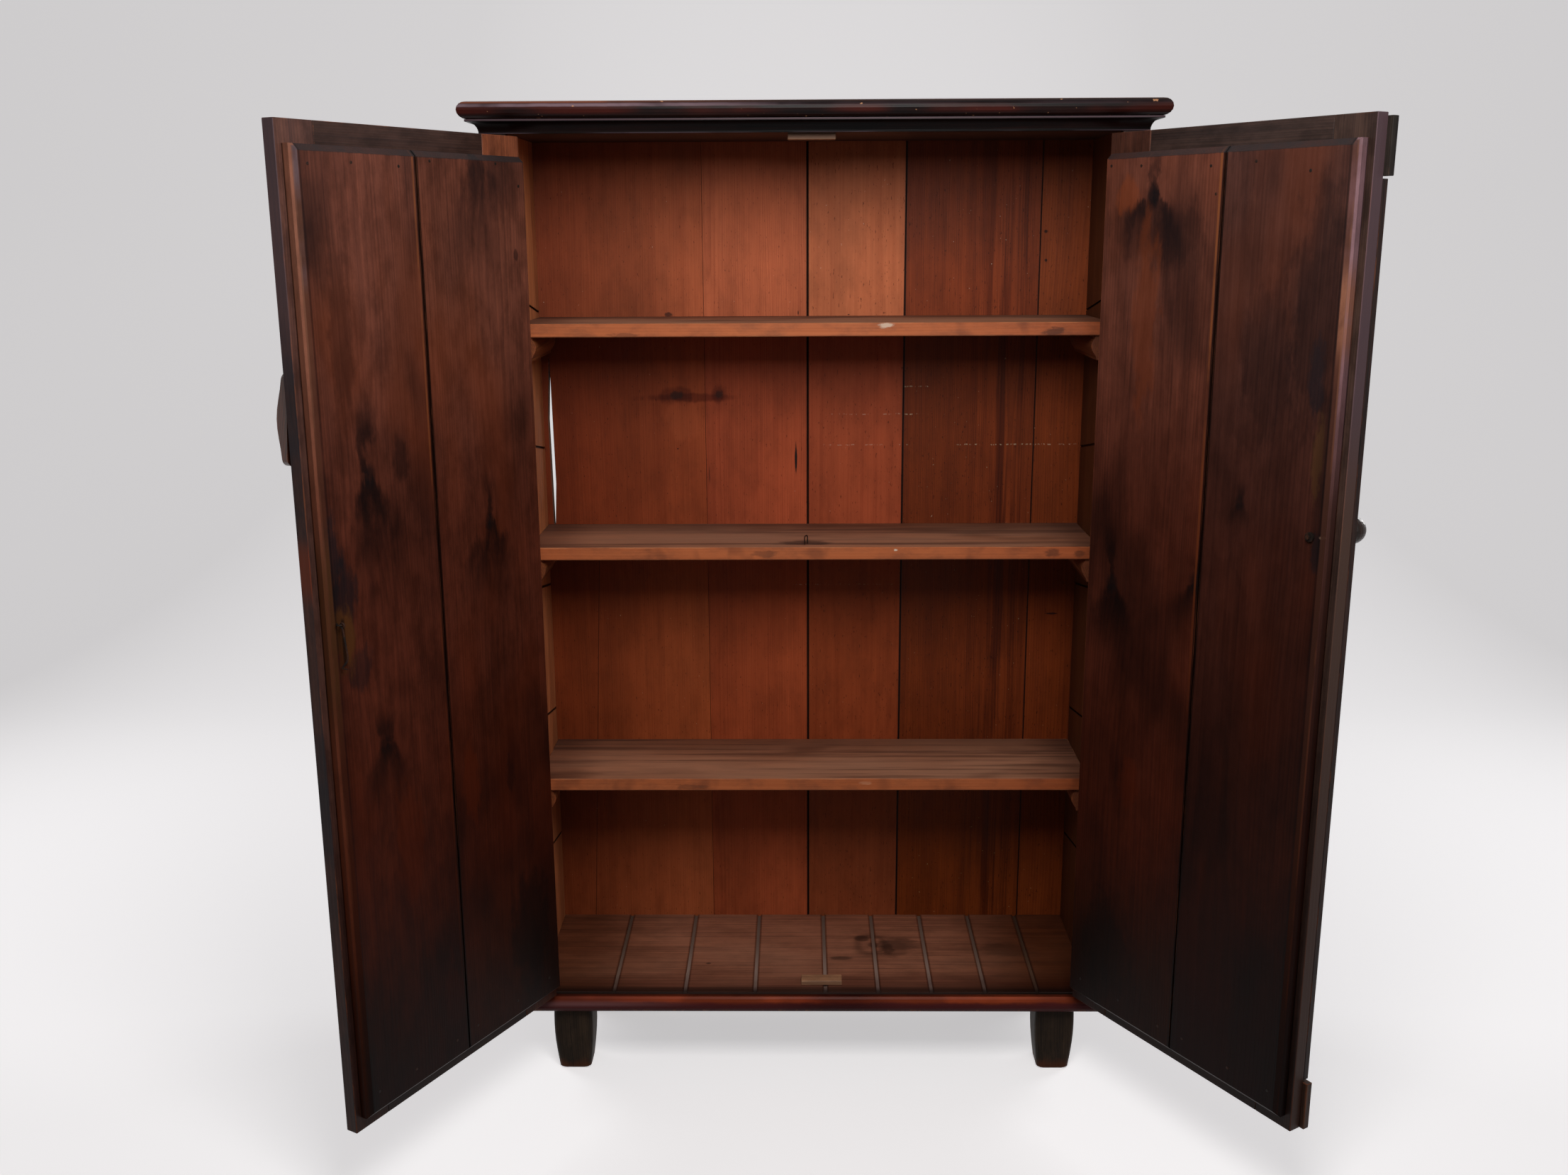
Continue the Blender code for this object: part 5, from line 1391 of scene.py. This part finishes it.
def camera():
    data = bpy.data.cameras.new("photo_camera")
    data.sensor_fit = "HORIZONTAL"
    data.sensor_width = CAMERA_SENSOR
    data.lens = CAMERA_LENS
    data.clip_start, data.clip_end = CAMERA_CLIP
    obj = bpy.data.objects.new("photo_camera", data)
    right = CAMERA_FORWARD.cross(CAMERA_UP).normalized()
    up = right.cross(CAMERA_FORWARD).normalized()
    turn = Matrix((right, up, -CAMERA_FORWARD.normalized())).transposed().to_4x4()
    obj.matrix_world = Matrix.Translation(CAMERA_PLACE) @ turn
    bpy.context.scene.collection.objects.link(obj)
    bpy.context.scene.camera = obj


def area_light(name, place, size, power, colour):
    data = bpy.data.lights.new(name, "AREA")
    data.shape = "SQUARE"
    data.size = size
    data.energy = power
    data.color = colour
    obj = bpy.data.objects.new(name, data)
    obj.visible_camera = False
    turn = (AIM - Vector(place)).to_track_quat("-Z", "Y").to_matrix().to_4x4()
    obj.matrix_world = Matrix.Translation(place) @ turn
    bpy.context.scene.collection.objects.link(obj)


def seen_ray(tree):
    """1 for the rays that show the studio to the camera, in gloss or through glass."""
    path = tree.node("ShaderNodeLightPath").outputs
    direct = tree.higher(path["Is Camera Ray"], path["Is Transmission Ray"])
    return tree.higher(direct, path["Is Glossy Ray"])


def world():
    """Soft grey light from all round, which the camera and gloss see as pale as the studio."""
    made = bpy.data.worlds.new("studio_world")
    bpy.context.scene.world = made
    tree = cleared_tree(made)
    ambient, shown = (
        tree.out(tree.node("ShaderNodeBackground", {"Color": STUDIO_PALE, "Strength": strength}))
        for strength in (AMBIENT_STRENGTH, WORLD_SHOWN))
    both = tree.out(tree.node("ShaderNodeMixShader", {0: seen_ray(tree), 1: ambient, 2: shown}))
    tree.feed(tree.node("ShaderNodeOutputWorld").inputs["Surface"], both)


def studio_material():
    """Pale to the camera and in gloss, and dark to other light, like the dark floor of the photograph."""
    made = bpy.data.materials.new("studio_floor")
    tree = cleared_tree(made)
    pale, unseen = (tree.out(tree.node("ShaderNodeBsdfDiffuse", {"Color": colour}))
                    for colour in (STUDIO_PALE, STUDIO_UNSEEN))
    glow = tree.out(tree.node("ShaderNodeEmission", {"Color": STUDIO_PALE, "Strength": STUDIO_GLOW}))
    shown = tree.out(tree.node("ShaderNodeAddShader", {0: pale, 1: glow}))
    both = tree.out(tree.node("ShaderNodeMixShader", {0: seen_ray(tree), 1: unseen, 2: shown}))
    tree.feed(tree.node("ShaderNodeOutputMaterial").inputs["Surface"], both)
    return made


def studio_floor():
    """A floor that turns up into a wall far behind."""
    shape = bmesh.new()
    profile = [(STUDIO_FRONT, 0.0)]
    for i in range(STUDIO_STEPS + 1):
        angle = math.pi / 2 * i / STUDIO_STEPS
        profile.append((STUDIO_WALL - STUDIO_BEND + STUDIO_BEND * math.sin(angle),
                        STUDIO_BEND * (1 - math.cos(angle))))
    profile.append((STUDIO_WALL, STUDIO_HEIGHT))
    left, right = ([shape.verts.new((x, y, z)) for y, z in profile]
                   for x in (-STUDIO_HALF_WIDTH, STUDIO_HALF_WIDTH))
    for i in range(len(profile) - 1):
        shape.faces.new((left[i], right[i], right[i + 1], left[i + 1]))
    for face in shape.faces:
        face.smooth = True
    new_piece("studio_floor", shape, studio_material())


def main():
    camera()
    world()
    studio_floor()
    for lamp in LAMPS:
        area_light(*lamp)
    back_boards()
    side_panels()
    ceiling()
    bearers()
    shelves()
    floor_panel()
    stop_blocks()
    dark_carcass()
    mouldings()
    feet()
    for place, word in ((LEFT, "left"), (RIGHT, "right")):
        door_frame(place, word)
        lining(place, word)
    tongues()
    meeting_strip()
    knob()
    turn_button()
    ironwork()
    hook_tip()
    fasteners()
    bpy.context.scene.view_settings.view_transform = "Standard"


main()
